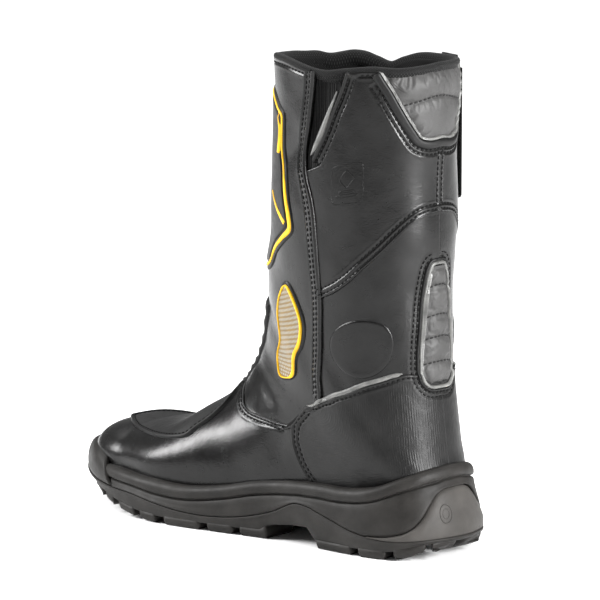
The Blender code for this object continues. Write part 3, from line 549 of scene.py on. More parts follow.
def patch(name, outline, lift, look, nodes, side=1, thick=1.4, rings=16, drop=1.2, pillow=0.0,
          body=None, calm=1.0, step=1.2):
    """A stitched-on piece with a free outline: rings of points from its middle to its edge."""
    s, t = trace(outline, step, closed=True)
    s, t = s[:-1], t[:-1]
    middle = np.array([s.mean(), t.mean()])
    share = 1 - (1 - np.linspace(0, 1, rings + 1)[1:])**1.5
    s = middle[0] + share[:, None] * (s - middle[0])
    t = (middle[1] + share[:, None] * (t - middle[1])) * side
    base, normal = surf(s, t), normal_at(s, t)
    edge = run_from(base, 0, False)
    height = lift + calm * relief(s, t) + fold(edge, drop, 0.9, 0.1) + pillow * (1 - share[:, None]**2)
    count = base.shape[1]
    tops = base + normal * height[..., None]
    unders = base + normal * (height - thick)[..., None]
    points = np.vstack([tops.reshape(-1, 3), unders.reshape(-1, 3)])
    faces = [tuple(f) for f in quads(rings, count, closed=True)]
    under = rings * count
    last = (rings - 1) * count
    faces += [tuple(reversed(tuple(v + under for v in f))) for f in faces]
    faces += [(last + i, last + (i + 1) % count, under + last + (i + 1) % count, under + last + i)
              for i in range(count)]
    faces.append(tuple(range(count))[::-1])
    faces.append(tuple(under + i for i in range(count)))
    flat = weave_at(s, t).reshape(-1, 2)
    a, b, c = tops[3, 0], tops[3, 1], tops[4, 0]
    if np.dot(np.cross(b - a, c - a), normal[3, 0]) < 0:
        faces = [tuple(reversed(f)) for f in faces]
    made = add_object(name, points, faces, look, np.vstack([flat, flat]))
    surface = [f for f in faces if len(f) == 4 and max(f) < under]
    remember(tops.reshape(-1, 3), surface)
    return finish_piece(made, nodes, body)


def sweep(points, radius, sides=8, closed=False, squash=1.0, ups=None):
    """Points and faces of a round cord along points; radius may be an array."""
    points = np.asarray(points, float)
    count = len(points)
    way = unit(np.roll(points, -1, 0) - np.roll(points, 1, 0) if closed else np.gradient(points, axis=0))
    ups = np.tile((0.0, 0.0, 1.0), (count, 1)) if ups is None else ups
    across = unit(np.cross(way, ups))
    ups = np.cross(across, way)
    angle = np.linspace(0, 2 * np.pi, sides, endpoint=False)
    radius = np.broadcast_to(np.asarray(radius, float), count)[:, None, None]
    rings = points[:, None] + radius * (across[:, None] * np.cos(angle)[:, None]
                                        + squash * ups[:, None] * np.sin(angle)[:, None])
    faces = [tuple(f) for f in quads(count, sides, closed=True)]
    if closed:
        last = (count - 1) * sides
        faces += [(last + i, last + (i + 1) % sides, (i + 1) % sides, i) for i in range(sides)]
    else:
        faces += [tuple(range(sides))[::-1], tuple((count - 1) * sides + i for i in range(sides))]
    return rings.reshape(-1, 3), faces


def ground():
    """The sewn skin as one surface to lay things on."""
    return BVHTree.FromPolygons(np.vstack(SKIN["points"]).tolist(),
                                np.vstack(SKIN["faces"]).tolist())


def drape(tree, s, t, above=0.0, reach=9.0):
    """Points on the outside of the sewn skin over (s, t), and the last's normals there."""
    base, normal = surf(s, t), normal_at(s, t)
    found = []
    for p, n in zip(base, normal):
        hit = tree.ray_cast(Vector(p + n * reach), Vector(-n), 2 * reach)[0]
        found.append(np.array(hit) if hit is not None else p + n)
    return np.array(found) + normal * above, normal


STITCH_SHAPE = [(-1.0, 0.30, -0.55), (-0.72, 0.85, 0.0), (0.0, 1.0, 0.18), (0.72, 0.85, 0.0),
                (1.0, 0.30, -0.55)]     # along, thickness and height of a stitch, by its half sizes


def stitches(name, tree, paths, look, pitch=3.3, long=2.5, thread=0.48, body=None, above=0.10):
    """Rows of thread, each stitch a short bowed piece that dips into the leather at both ends."""
    points, faces, count, sides = [], [], 0, 6
    angle = np.linspace(0, 2 * np.pi, sides, endpoint=False)
    template = quads(len(STITCH_SHAPE), sides, closed=True)
    for s, t in paths:
        place, normal = drape(tree, s, t, above)
        run = length_along(place)
        spots = np.arange(pitch / 2, run[-1], pitch)
        read_run = lambda at, v: np.stack([np.interp(at, run, v[:, k]) for k in range(3)], -1)
        for here, back, ahead, up in zip(read_run(spots, place), read_run(spots - long / 2, place),
                                         read_run(spots + long / 2, place), read_run(spots, normal)):
            way = ahead - back
            size = np.linalg.norm(way)
            if size < 0.3:
                continue
            way, up = way / size, up / np.linalg.norm(up)
            across = np.cross(way, up)
            for u, wide, high in STITCH_SHAPE:
                centre = here + way * u * long / 2 + up * high * thread * 1.5
                points.append(centre + thread * wide * (across * np.cos(angle)[:, None]
                                                        + up * np.sin(angle)[:, None]))
            faces.append(template + count)
            ends = count + (len(STITCH_SHAPE) - 1) * sides
            faces.append(np.array([[count + 2, count + 1, count, count + 5],
                                   [count + 5, count + 4, count + 3, count + 2],
                                   [ends, ends + 1, ends + 2, ends + 5],
                                   [ends + 2, ends + 3, ends + 4, ends + 5]]))
            count += len(STITCH_SHAPE) * sides
    made = add_object(name, np.vstack(points), np.vstack(faces), look)
    return finish_piece(made, (), body)


# ---------------------------------------------------------------- materials
class Look:
    """A procedural material being put together; coordinates are in mm."""

    def __init__(self, name, rough=0.5, metallic=0.0, **sockets):
        self.material = bpy.data.materials.new(name)
        self.material.use_nodes = True
        self.tree = self.material.node_tree
        self.shader = self.tree.nodes["Principled BSDF"]
        self.shader.inputs["Roughness"].default_value = rough
        self.shader.inputs["Metallic"].default_value = metallic
        for socket, value in sockets.items():
            self.shader.inputs[socket.replace("_", " ")].default_value = value
        self.bump = None

    def feed(self, socket, value):
        """Link a node's output to a socket, or set a constant there."""
        if hasattr(value, "links"):
            self.tree.links.new(value, socket)
        else:
            socket.default_value = value

    def node(self, kind, values=None, **settings):
        made = self.tree.nodes.new("ShaderNode" + kind)
        for key, value in settings.items():
            setattr(made, key, value)
        for key, value in (values or {}).items():
            self.feed(made.inputs[key], value)
        return made

    def place(self, turn=0.0, stretch=(1, 1, 1), weave=False):
        """Object coordinates in mm, or the panel's own flat coordinates in mm."""
        if weave:
            start = self.node("UVMap", uv_map="weave").outputs["UV"]
        else:
            start = self.node("TexCoord").outputs["Object"]
        size = 1.0 if weave else 1000.0
        return self.node("Mapping", {"Vector": start, "Rotation": (0, 0, math.radians(turn)),
                                     "Scale": tuple(size * v for v in stretch)}).outputs["Vector"]

    def noise(self, size, detail=4.0, rough=0.55, place=None):
        place = self.place() if place is None else place
        return self.node("TexNoise", {"Vector": place, "Scale": 1.0 / size, "Detail": detail,
                                      "Roughness": rough}).outputs["Fac"]

    def cells(self, size, feature="F1", place=None):
        place = self.place() if place is None else place
        return self.node("TexVoronoi", {"Vector": place, "Scale": 1.0 / size},
                         feature=feature).outputs["Distance"]

    def ribs(self, pitch, direction="X", place=None, wobble=0.0):
        place = self.place(weave=True) if place is None else place
        return self.node("TexWave", {"Vector": place, "Scale": 0.31416 / pitch, "Distortion": wobble},
                         wave_type="BANDS", bands_direction=direction).outputs["Fac"]

    def math(self, how, a, b=0.5):
        return self.node("Math", {0: a, 1: b}, operation=how).outputs[0]

    def ramp(self, fac, stops):
        made = self.node("ValToRGB", {"Fac": fac})
        marks = made.color_ramp.elements
        while len(marks) < len(stops):
            marks.new(0.5)
        for mark, (at, colour) in zip(marks, stops):
            mark.position = at
            mark.color = (*colour, 1) if len(colour) == 3 else colour
        return made.outputs["Color"]

    def blend(self, fac, a, b):
        a, b = ((*v, 1) if isinstance(v, tuple) else v for v in (a, b))
        factor, first, second, result = 0, 6, 7, 2      # the colour sockets of a mix node
        made = self.node("Mix", data_type="RGBA")
        for place, value in ((factor, fac), (first, a), (second, b)):
            self.feed(made.inputs[place], value)
        return made.outputs[result]

    def colour(self, value):
        self.tree.links.new(value, self.shader.inputs["Base Color"])

    def roughness(self, fac, low, high):
        made = self.node("MapRange", {"Value": fac, "From Min": 0.25, "From Max": 0.75,
                                      "To Min": low, "To Max": high})
        self.tree.links.new(made.outputs["Result"], self.shader.inputs["Roughness"])

    def raise_by(self, height, depth_mm, strength=1.0):
        """Bump from a height of 0 to 1 over depth_mm; each call adds to the last."""
        values = {"Height": height, "Distance": depth_mm * MM, "Strength": strength}
        if self.bump:
            values["Normal"] = self.bump
        self.bump = self.node("Bump", values).outputs["Normal"]
        self.tree.links.new(self.bump, self.shader.inputs["Normal"])


def grey(value, warm=0.0):
    return (value * (1 + warm), value, value * (1 - warm))


def leather_look(name, dark=0.0018, light=0.0065, rough=(0.19, 0.30), grain=0.10, warm=0.02):
    look = Look(name, Specular_IOR_Level=0.22)
    cloud = look.noise(22, 5, 0.6)
    look.colour(look.ramp(cloud, [(0.3, grey(dark, warm)), (0.72, grey(light, warm))]))
    look.roughness(look.noise(9, 5, 0.65), *rough)
    look.raise_by(look.noise(5.5, 4, 0.6), 0.30, 0.5)
    pebble = look.cells(0.75, "SMOOTH_F1")
    look.raise_by(look.math("SUBTRACT", 1.0, pebble), grain, 0.55)
    look.raise_by(look.noise(0.45, 3), 0.05, 0.5)
    return look.material


def embossed_look():
    """Heel counter leather pressed with a fine pattern of upright dashes."""
    look = Look("counter_leather", Specular_IOR_Level=0.22)
    cloud = look.noise(24, 5, 0.6)
    look.colour(look.ramp(cloud, [(0.3, grey(0.002, 0.02)), (0.72, grey(0.007, 0.02))]))
    look.roughness(look.noise(8, 5, 0.6), 0.36, 0.48)
    flat = look.place(weave=True)
    lines = look.ribs(1.3, "X", flat)
    breaks = look.noise(2.4, 2, 0.5, look.place(weave=True, stretch=(1.0, 0.5, 1)))
    dashes = look.math("MULTIPLY", lines, look.ramp(breaks, [(0.42, (0, 0, 0)), (0.55, (1, 1, 1))]))
    look.raise_by(look.noise(5.5, 4), 0.25, 0.5)
    look.raise_by(dashes, 0.12, 0.6)
    return look.material


def guard_look():
    look = Look("guard_leather", Specular_IOR_Level=0.22)
    look.colour(look.ramp(look.noise(14, 5), [(0.3, grey(0.006)), (0.7, grey(0.014))]))
    look.roughness(look.noise(4, 5), 0.36, 0.50)
    look.raise_by(look.cells(0.9, "SMOOTH_F1"), 0.12, 0.6)
    look.raise_by(look.noise(0.5, 3), 0.05, 0.5)
    return look.material


def pad_look():
    """Softer grey leather of the padded pieces."""
    look = Look("grey_pad_leather", Specular_IOR_Level=0.28)
    cloud = look.noise(16, 5, 0.6)
    look.colour(look.ramp(cloud, [(0.28, grey(0.026, 0.015)), (0.74, grey(0.044, 0.015))]))
    look.roughness(look.noise(6, 5), 0.46, 0.60)
    look.raise_by(look.noise(3.2, 5, 0.65), 0.35, 0.5)
    look.raise_by(look.cells(0.7, "SMOOTH_F1"), 0.10, 0.5)
    return look.material


def elastic_look():
    look = Look("black_elastic", rough=0.85, Specular_IOR_Level=0.15, Sheen_Weight=0.02)
    ribs = look.ribs(1.5, "X", wobble=0.4)
    cross = look.ribs(0.8, "Y", wobble=0.6)
    look.colour(look.ramp(look.math("MULTIPLY", ribs, cross), [(0.0, grey(0.003)), (1.0, grey(0.018))]))
    look.raise_by(ribs, 0.35, 0.8)
    look.raise_by(cross, 0.12, 0.7)
    return look.material


def knit_look(name, dark, light, size=1.5):
    """Knitted textile: rows of small dots turned a little."""
    look = Look(name, rough=0.9, Specular_IOR_Level=0.15, Sheen_Weight=0.03, Sheen_Roughness=0.5)
    flat = look.place(45, weave=True)
    dots = look.math("MULTIPLY", look.ribs(size, "X", flat), look.ribs(size, "Y", flat))
    shade = look.blend(look.noise(14, 3), grey(light * 0.75), grey(light * 1.2))
    look.colour(look.blend(look.ramp(dots, [(0.25, (0, 0, 0)), (0.6, (1, 1, 1))]), grey(dark), shade))
    look.raise_by(dots, 0.35, 0.8)
    return look.material


def piping_look():
    look = Look("reflective_piping", rough=0.36, Specular_IOR_Level=0.5)
    soil = look.noise(7, 4, 0.6)
    look.colour(look.ramp(soil, [(0.32, (0.05, 0.05, 0.048)), (0.66, (0.12, 0.12, 0.115))]))
    look.raise_by(look.ribs(0.7, "Y"), 0.08, 0.6)
    look.raise_by(look.noise(4, 3), 0.25, 0.4)
    return look.material


def mesh_look():
    """Silver net over yellow, its holes set on the slant."""
    look = Look("reflex_net", rough=0.36, Specular_IOR_Level=0.6)
    flat = look.place(45, weave=True)
    net = look.math("MULTIPLY", look.ribs(2.1, "X", flat), look.ribs(1.7, "Y", flat))
    net = look.ramp(net, [(0.22, (0, 0, 0)), (0.40, (1, 1, 1))])
    hole = look.blend(look.noise(9, 2), (0.05, 0.030, 0.003), (0.20, 0.11, 0.005))
    look.colour(look.blend(net, hole, (0.24, 0.235, 0.20)))
    look.raise_by(net, 0.30, 0.9)
    return look.material


def yellow_look():
    look = Look("yellow_trim", rough=0.5, Specular_IOR_Level=0.3)
    look.colour(look.ramp(look.noise(6, 4), [(0.3, (0.66, 0.36, 0.006)), (0.7, (0.86, 0.52, 0.012))]))
    look.raise_by(look.cells(0.6, "SMOOTH_F1"), 0.08, 0.5)
    return look.material


def webbing_look():
    look = Look("black_webbing", rough=0.82, Specular_IOR_Level=0.15, Sheen_Weight=0.03)
    flat = look.place(weave=True)
    rows = look.math("MULTIPLY", look.ribs(1.0, "DIAGONAL", flat), look.ribs(2.2, "X", flat))
    look.colour(look.ramp(rows, [(0.0, grey(0.003)), (0.8, grey(0.020))]))
    look.raise_by(rows, 0.4, 0.8)
    return look.material


def rubber_look(name, dark=0.009, light=0.022, rough=(0.42, 0.58)):
    """Moulded rubber, a little dusty, with a fine sparked skin."""
    look = Look(name, Specular_IOR_Level=0.13)
    dust = look.noise(20, 6, 0.62)
    look.colour(look.ramp(dust, [(0.3, grey(dark, 0.07)), (0.74, grey(light, 0.07))]))
    look.roughness(look.noise(7, 4), *rough)
    look.raise_by(look.noise(11, 3), 0.35, 0.35)
    look.raise_by(look.noise(0.55, 4, 0.7), 0.10, 0.6)
    return look.material


def thread_look(name, value):
    look = Look(name, rough=0.6, Specular_IOR_Level=0.12)
    look.colour(look.ramp(look.noise(5, 3), [(0.35, grey(value * 0.7)), (0.7, grey(value * 1.3))]))
    look.raise_by(look.noise(0.3, 2), 0.1, 0.6)
    return look.material


def plain_look(name, low, high, rough, metallic=0.0, grain=0.4):
    look = Look(name, rough=rough, metallic=metallic)
    look.colour(look.ramp(look.noise(8, 5), [(0.3, low), (0.7, high)]))
    look.raise_by(look.noise(grain, 4, 0.6), 0.08, 0.6)
    return look.material


LEATHER = leather_look("black_leather")
STRIP = leather_look("seam_leather", 0.0015, 0.005, (0.40, 0.52))
COUNTER = embossed_look()
GUARD = guard_look()
PAD = pad_look()
ELASTIC = elastic_look()
COLLAR = knit_look("collar_textile", 0.003, 0.018, 1.35)
LINING = knit_look("lining_textile", 0.002, 0.010, 1.1)
PIPING = piping_look()
NET = mesh_look()
YELLOW = yellow_look()
WEBBING = webbing_look()
RUBBER = rubber_look("tread_rubber")
MIDSOLE = rubber_look("midsole_rubber", 0.008, 0.020)
BUMPER = rubber_look("bumper_rubber", 0.007, 0.016, (0.40, 0.54))
# Heel rubber, lighter than the tread rubber: partly its own paler rubber, partly a painted highlight on the
# back of the heel.
HEEL_RUBBER_AND_PAINTED_HIGHLIGHT = rubber_look("heel_rubber", 0.026, 0.046)
THREAD = thread_look("black_thread", 0.003)
GREY_THREAD = thread_look("grey_thread", 0.018)
STEEL = plain_look("cap_steel", grey(0.30), grey(0.42), 0.38, 1.0)
BOARD = plain_look("lasting_board", (0.16, 0.13, 0.09), (0.24, 0.20, 0.14), 0.8)
COUNTERBOARD = plain_look("stiffener_board", (0.10, 0.09, 0.07), (0.15, 0.13, 0.10), 0.75)
TEXTILE = plain_look("plate_textile", (0.45, 0.42, 0.25), (0.60, 0.56, 0.38), 0.85)
FOAM = plain_look("footbed_foam", grey(0.035), grey(0.06), 0.9, 0.0, 0.7)


# ---------------------------------------------------------------- leather panels
SEAM_UNDER = 0.045         # t that quarters and rear panels run under the shin panel


def vamp(r, c):
    t = 2 * c - 1
    a = np.abs(t)
    rear = np.where(a < VAMP_TOP_T, curve(VAMP_TOP, a / VAMP_TOP_T),
                    curve(COUNTER_FRONT, np.maximum(a, VAMP_TOP_T)))
    rear = rear + np.interp(a, [0.50, 0.56], [0.0, 0.016])
    return 0.006 + (rear - 0.006) * (1 - (1 - r)**1.25), t


def front_panel(r, c):
    """Shin panel, from under the vamp's top border to the rim."""
    k = 2 * c - 1
    low = curve(VAMP_TOP, np.abs(k)) - 0.017
    s = low + (rim_s(k * 0.50) - low) * r
    return s, k * (side_t(s) + 1.6 / SHAFT_SIDE)


def rear_panel(r, c, end):
    """Its borders depend on both s and t, so the two are found in turns."""
    calf_from = 0.757
    corner = float(curve(GUSSET_REAR, GUSSET_LOW))
    t = 0.45 + 0.55 * c
    for _ in range(6):
        low = curve(DIAGONAL, t)
        top = np.where(t < calf_from, rim_s(t), curve(CALF_EDGE, np.maximum(t, calf_from)))
        s = low + (top - low) * r
        below = side_t(s) - SEAM_UNDER
        below = below + smooth((s - GUSSET_LOW + 0.020) / 0.020) * (corner - below)
        front = np.where(s > GUSSET_LOW, curve(GUSSET_REAR, s), below)
        t = front + (end - front) * c
    return s, t


def quarter(r, c, end):
    """Ankle panel; its lower and upper borders run under the counter and the rear panel."""
    t = 0.48 + 0.52 * c
    for _ in range(4):
        low, high = curve(COUNTER_TOP, t) - 0.014, curve(DIAGONAL, t) + 0.014
        s = low + (high - low) * r
        front = side_t(s) - SEAM_UNDER
        t = front + (end - front) * c
    return s, t


def counter(r, c, end):
    t_low, t_high = VAMP_TOP_T + (1 - VAMP_TOP_T) * c, 0.472 + 0.528 * c
    low, high = curve(COUNTER_FRONT, t_low), curve(COUNTER_TOP, t_high)
    s, t = low + (high - low) * r, t_low + (t_high - t_low) * r
    return s, t + (end - 1.0) * c * smooth((s - 0.54) / 0.02)


def gusset(r, c):
    s = 0.850 + 0.150 * r
    front = side_t(s) - 0.020
    back = np.interp(s, *np.array(GUSSET_REAR).T) + 0.030
    at_rim = rim_s(0.545) - 1.0
    return s + at_rim * r * r, front + (back - front) * c


def mirrored(where, side):
    def placed(r, c):
        s, t = where(r, c)
        return s, side * t
    return placed


def counter_lift(s, t, runs):
    """The counter is drawn up over the vamp along its front edge."""
    return 1.15 + 0.9 * smooth(1 - runs["left"] / 8)


def front_lift(s, t, runs):
    """The shin panel rises to its side borders, which lie over the quarters."""
    beside = np.minimum(runs["left"], runs["right"])
    return 0.35 + 1.75 * smooth(1 - beside / 7)


def rear_lift(s, t, runs):
    """The front edge is free along the gusset, and lies under the shin panel below it."""
    free = smooth((s - 0.866) / 0.010)
    under = tuck(runs["left"], 6.5) * (1 - free)
    return 0.5 + under + (fold(runs["left"], 1.4) + 0.5 * smooth(1 - runs["left"] / 5)) * free


def build_panels():
    panel("vamp", vamp, (90, 241), 0.6, LEATHER, "vamp", "high", thick=2.0)
    panel("front_shaft_panel", front_panel, (200, 150), front_lift, LEATHER, "front_shaft_panel",
          "left right", "low", reach=7.0)
    for side, word in SIDES:
        end = 1.004 if side > 0 else 0.9985      # the outer half laps over the inner one at the back
        panel(f"ankle_quarter_{word}", mirrored(lambda r, c: quarter(r, c, end), side), (90, 110), 0.0,
              LEATHER, f"ankle_quarter_{word}", "", "low high left", thick=1.6)
        panel(f"rear_shaft_panel_{word}", mirrored(lambda r, c: rear_panel(r, c, end), side),
              (120, 120), rear_lift, LEATHER, f"rear_shaft_panel_{word}", "low high")
        panel(f"heel_counter_{word}", mirrored(lambda r, c: counter(r, c, end), side), (100, 110),
              counter_lift, COUNTER, f"heel_counter_{word}", "high left", calm=0.7)


def gusset_lift(s, t, runs):
    """Elastic drawn in between its seams, in upright ribs."""
    from_seams = np.minimum(runs["left"], runs["right"])
    drawn_in = 2.6 * smooth((s - 0.870) / 0.06) * smooth((from_seams - 3) / 6)
    rib_mm, rib_high = 2.6, 0.22
    return -1.1 - drawn_in + rib_high * np.cos(2 * np.pi * (np.abs(t) - 0.5) * UV_T / rib_mm)


def build_gussets():
    for side, word in SIDES:
        panel(f"stretch_gusset_{word}", mirrored(gusset, side), (40, 90), gusset_lift, ELASTIC,
              f"stretch_gusset_{word}", thick=1.0, stitched=False, calm=0.5)


# ---------------------------------------------------------------- padded pieces
def puff(points, held, cap):
    """How far each point of a grid moves when the pad under it swells; held points stay."""
    rows, columns = points.shape[:2]
    larger = 0.01            # the cloth is solved ten times life size, where its defaults hold
    mesh = bpy.data.meshes.new("swelling")
    mesh.from_pydata((points.reshape(-1, 3) * larger).tolist(), [], quads(rows, columns).tolist())
    body = bpy.data.objects.new("swelling", mesh)
    bpy.context.scene.collection.objects.link(body)
    body.vertex_groups.new(name="held").add(np.flatnonzero(held.ravel()).tolist(), 1.0, "REPLACE")
    cloth = body.modifiers.new("cloth", "CLOTH")
    settings = cloth.settings
    settings.quality = 7
    settings.mass = 0.3
    settings.tension_stiffness = settings.compression_stiffness = 12
    settings.shear_stiffness = 6
    settings.bending_stiffness = 0.35
    settings.shrink_min = -0.05
    settings.use_pressure = True
    settings.uniform_pressure_force = 3.6
    settings.effector_weights.gravity = 0
    settings.vertex_group_mass = "held"
    for frame_number in range(1, 21):
        bpy.context.scene.frame_set(frame_number)
    solved = body.evaluated_get(bpy.context.evaluated_depsgraph_get()).data
    moved = np.zeros(len(mesh.vertices) * 3, np.float32)
    solved.vertices.foreach_get("co", moved)
    move = moved.reshape(rows, columns, 3) / larger - points
    bpy.data.objects.remove(body)
    bpy.context.scene.frame_set(1)
    far = np.linalg.norm(move, axis=-1, keepdims=True)
    return move * (cap * np.tanh(far / cap) / np.maximum(far, 1e-6))


def pad(name, where, size, lift, channels, edge, cap, body=None):
    """A padded piece: swollen by simulation between its seams, then sewn down along its channels.

    edge is the width in mm of its flat border, and cap about the most that it swells.
    """
    r, c = np.meshgrid(*(np.linspace(0, 1, count) for count in size), indexing="ij")
    s, t = where(r, c)
    base, normal = surf(s, t), normal_at(s, t)
    border = np.minimum(np.minimum(run_from(base, 0, True), run_from(base, 0, False)),
                        np.minimum(run_from(base, 1, True), run_from(base, 1, False)))
    far = distances(tree_of(np.vstack([surf(*trace(line, 0.5)) for line in channels])), base)
    height = lift + 1.4 * smooth((border - edge) / 5)
    start = base + normal * height[..., None]
    moved = puff(start, (border < edge) | (far < 0.9), cap)
    sewn = -0.8 * np.exp(-(far / 1.1)**2)
    wrinkle = ripple(wave_set(23, 12, 9, 20, 0.05), base)
    outer = start + moved + normal * (sewn + wrinkle * smooth((border - edge) / 3))[..., None]
    inner = base + normal * (lift - 1.6)
    made = sewn_on(name, outer, inner, PAD, weave_at(s, t), normal, name, body)


CALF_T = 0.764             # the calf pad's side edges are at this t


def calf_pad(r, c):
    t = CALF_T + 2 * (1 - CALF_T) * c
    low = curve(CALF_EDGE, np.where(t > 1, 2 - t, t)) - 0.011
    return low + (rim_s(t) - low) * r, t


def achilles_pad(r, c):
    u = -np.cos(math.pi * r) * 0.992
    half = (1 - np.abs(u)**4.0)**(1 / 4.0) * (1 - ACHILLES_TAPER * u)
    return ACHILLES_S + 0.0575 * u, 1.0 + 0.060 * half * (2 * c - 1)


CALF_CHANNEL = [(0.951, 0.848), (0.9545, 0.90), (0.9585, 0.955), (0.960, 1.0), (0.9585, 1.045),
                (0.9545, 1.10), (0.951, 1.152)]
ACHILLES_CHANNELS = [[(s - 0.003, 1 - half), (s, 1 - half / 2), (s + 0.001, 1.0),
                      (s, 1 + half / 2), (s - 0.003, 1 + half)]
                     for s, half in ((0.7545, 0.043), (0.7255, 0.054), (0.704, 0.062), (0.680, 0.070))]


def build_pads():
    pad("calf_pad", calf_pad, (70, 110), -1.3, [CALF_CHANNEL], 3.2, 2.6, "shaft")
    pad("achilles_pad", achilles_pad, (110, 60), 1.3, ACHILLES_CHANNELS, 1.4, 2.8)


# ---------------------------------------------------------------- small pieces on the upper
def band(name, tree, pairs, shifts, lift, look, nodes=(), side=1, closed=False, body=None,
         crown=0.35, widths=np.ones_like, hold=None):
    """A flat strip between two distances left of a path, laid on the skin or held hold mm off the last.

    widths gives the share of its width that it has at each share of its length.
    """
    mid_s, mid_t = trace(pairs, 1.2, sum(shifts) / 2, closed=closed)
    way, scale = heading(mid_s, mid_t, closed)
    share = np.linspace(-1, 1, 7)
    wide = (shifts[1] - shifts[0]) / 2 * widths(np.linspace(0, 1, len(way)))
    s = mid_s[:, None] + share * (wide * way[:, 0] / scale[:, 0])[:, None]
    t = (mid_t[:, None] - share * (wide * way[:, 1] / scale[:, 1])[:, None]) * side
    place, normal = (found.reshape(*s.shape, 3) for found in drape(tree, s.ravel(), t.ravel()))
    if hold is not None:
        place = surf(s, t, hold)
    round_edge = lift + crown * (1 - share**2) - 0.8 * lift * np.abs(share)**8
    outer, inner = place + normal * round_edge[:, None], place - normal * 0.9
    return sewn_on(name, outer, inner, look, weave_at(s, t), normal, nodes, body)


def mirrored_outline(half):
    return ring(half + [(s, -t) for s, t in half[-2:0:-1]])


def both(name):
    """(side, name) for the outer and the inner copy of a piece."""
    return [(side, f"{name}_{word}") for side, word in SIDES]


def build_patches():
    shield = mirrored_outline(SHIELD)
    base = patch("shin_shield_base", shield, 1.15, STRIP, (), rings=34, body="shaft")
    s, t = trace(shield, 6.0, shift=5.4, closed=True)
    field = patch("shin_shield_field", list(zip(s, t)), 1.95, GUARD, (), rings=34, body="shaft")
    for side, name in both("ankle_disc"):
        patch(name, ANKLE_DISC, 0.70, LEATHER, name, side, thick=1.2, rings=14, drop=1.0)
    leaf_s, leaf_t = 0.594, 0.338
    around_leaf = [(leaf_s + 1.10 * (s - leaf_s), leaf_t + 1.26 * (t - leaf_t)) for s, t in ring(LEAF)]
    for side, name in both("reflex_insert"):
        base = patch(f"{name}_base", around_leaf, 1.15, STRIP, (), side, rings=12)
        patch(name, ring(LEAF), 1.55, NET, name, side, rings=12, drop=0.5)
    guard_outline = GUARD_EDGE + [(s, -t) for s, t in GUARD_EDGE[::-1]]
    patch("instep_guard", ring(guard_outline), 1.5, GUARD, "instep_guard", rings=34, thick=2.0)


def flex_strip(s, t, runs):
    rib_mm, mm_per_s = 7.5, 330
    rib = np.cos(2 * np.pi * (s - 0.372) * mm_per_s / rib_mm)
    return 1.9 + 0.75 * rib * smooth((0.115 - np.abs(t)) / 0.02)


def build_flex_strip():
    """Ribbed bellows over the instep, so that the foot can bend."""
    made = panel("instep_bellows", lambda r, c: (0.385 + 0.180 * r, 0.118 * (2 * c - 1)), (110, 36),
                 flex_strip, STRIP, (), "low high left right", thick=2.4, stitched=False)


def edge_width(u):
    """Share of the shield's yellow edge that shows, broad at the corners beside the shin."""
    up = 2 * np.minimum(u, 1 - u)
    return np.interp(up, [0, 0.20, 0.33, 0.42, 0.47, 0.56, 0.66, 0.70, 0.76, 1.0],
                     [0.30, 0.35, 0.60, 1.0, 0.75, 0.28, 0.25, 0.50, 0.30, 0.30])


def build_bands(tree):
    """Pipings, seam strips, bindings and yellow edges."""
    for side, name in both("counter_piping"):
        pairs = along(COUNTER_TOP, np.linspace(0.474, 0.862, 12))
        band(name, tree, pairs, (-0.7, 1.5), 1.0, PIPING, name, side, crown=0.55,
             widths=lambda u: 0.35 + 0.65 * smooth(u / 0.06) * smooth((1 - u) / 0.05))
    for side, name in both("gusset_piping"):
        pairs = along(GUSSET_REAR, np.linspace(0.878, 0.966, 8), True)
        band(name, tree, pairs, (-0.8, 3.6), 0.6, PIPING, name, side, body="shaft", crown=0.5, hold=0.2,
             widths=lambda u: np.interp(u, [0, 0.12, 0.35, 0.75, 1.0], [0.12, 0.75, 1.0, 0.55, 0.25]))
    edge = along(CALF_EDGE, np.linspace(CALF_T, 1.0, 12))
    edge += [(s, 2 - t) for s, t in edge[-2::-1]]
    band("calf_pad_surround", tree, edge, (-6.0, -0.6), 0.75, STRIP, "calf_pad_surround",
         body="shaft")
    band("calf_pad_piping", tree, edge, (-0.6, 1.3), 1.15, PIPING, "calf_pad_piping", body="shaft",
         crown=0.7)
    band("achilles_piping", tree, ACHILLES, (-1.3, 1.1), 1.0, PIPING, "achilles_piping", closed=True,
         crown=0.7)
    made = band("achilles_surround", tree, ACHILLES, (1.1, 2.9), 0.7, STRIP, closed=True)
    band("shin_shield_edge", tree, mirrored_outline(SHIELD), (1.1, 5.0), 0.45, YELLOW,
         "shin_shield_edge", closed=True, body="shaft", crown=0.3, widths=edge_width)
    for side, name in both("shin_shield_flash"):
        for i, (pairs, half) in enumerate(FLASHES):
            made = band(f"{name}_{i}", tree, pairs, (-half, half), 0.35, YELLOW, (), side, body="shaft",
                        crown=0.2, widths=lambda u: 0.12 + 0.88 * u)
    for side, name in both("reflex_border"):
        band(name, tree, ring(LEAF), (-1.0, 1.0), 0.8, YELLOW, name, side, closed=True, crown=0.4,
             widths=lambda u: 0.40 + 0.55 * smooth((0.52 - u) / 0.08) * smooth(u / 0.04))
    for side, name in both("side_seam_strip"):
        pairs = [(s, side_t(s)) for s in np.linspace(0.548, 0.858, 9)]
        band(name, tree, pairs, (0.4, 6.4), 0.55, LEATHER, name, side, crown=0.25)
    for side, name in both("gusset_binding"):
        pairs = along(GUSSET_REAR, np.linspace(GUSSET_LOW, 0.994, 8), True)
        made = band(name, tree, pairs, (-2.6, -0.2), 0.5, STRIP, (), side, body="shaft")
    made = band("guard_rim", tree, [(s, -t) for s, t in GUARD_EDGE[:0:-1]] + GUARD_EDGE, (0.2, 2.2),
                0.7, STRIP)


def build_stitches(tree):
    stitches("upper_stitches", tree, list(all_rows(0.8)), THREAD)
    rows = [trace(CALF_CHANNEL, 0.8)] + [trace(line, 0.8, trim=(1, 1)) for line in ACHILLES_CHANNELS]
    made = stitches("pad_stitches", tree, rows, GREY_THREAD, above=0.25)


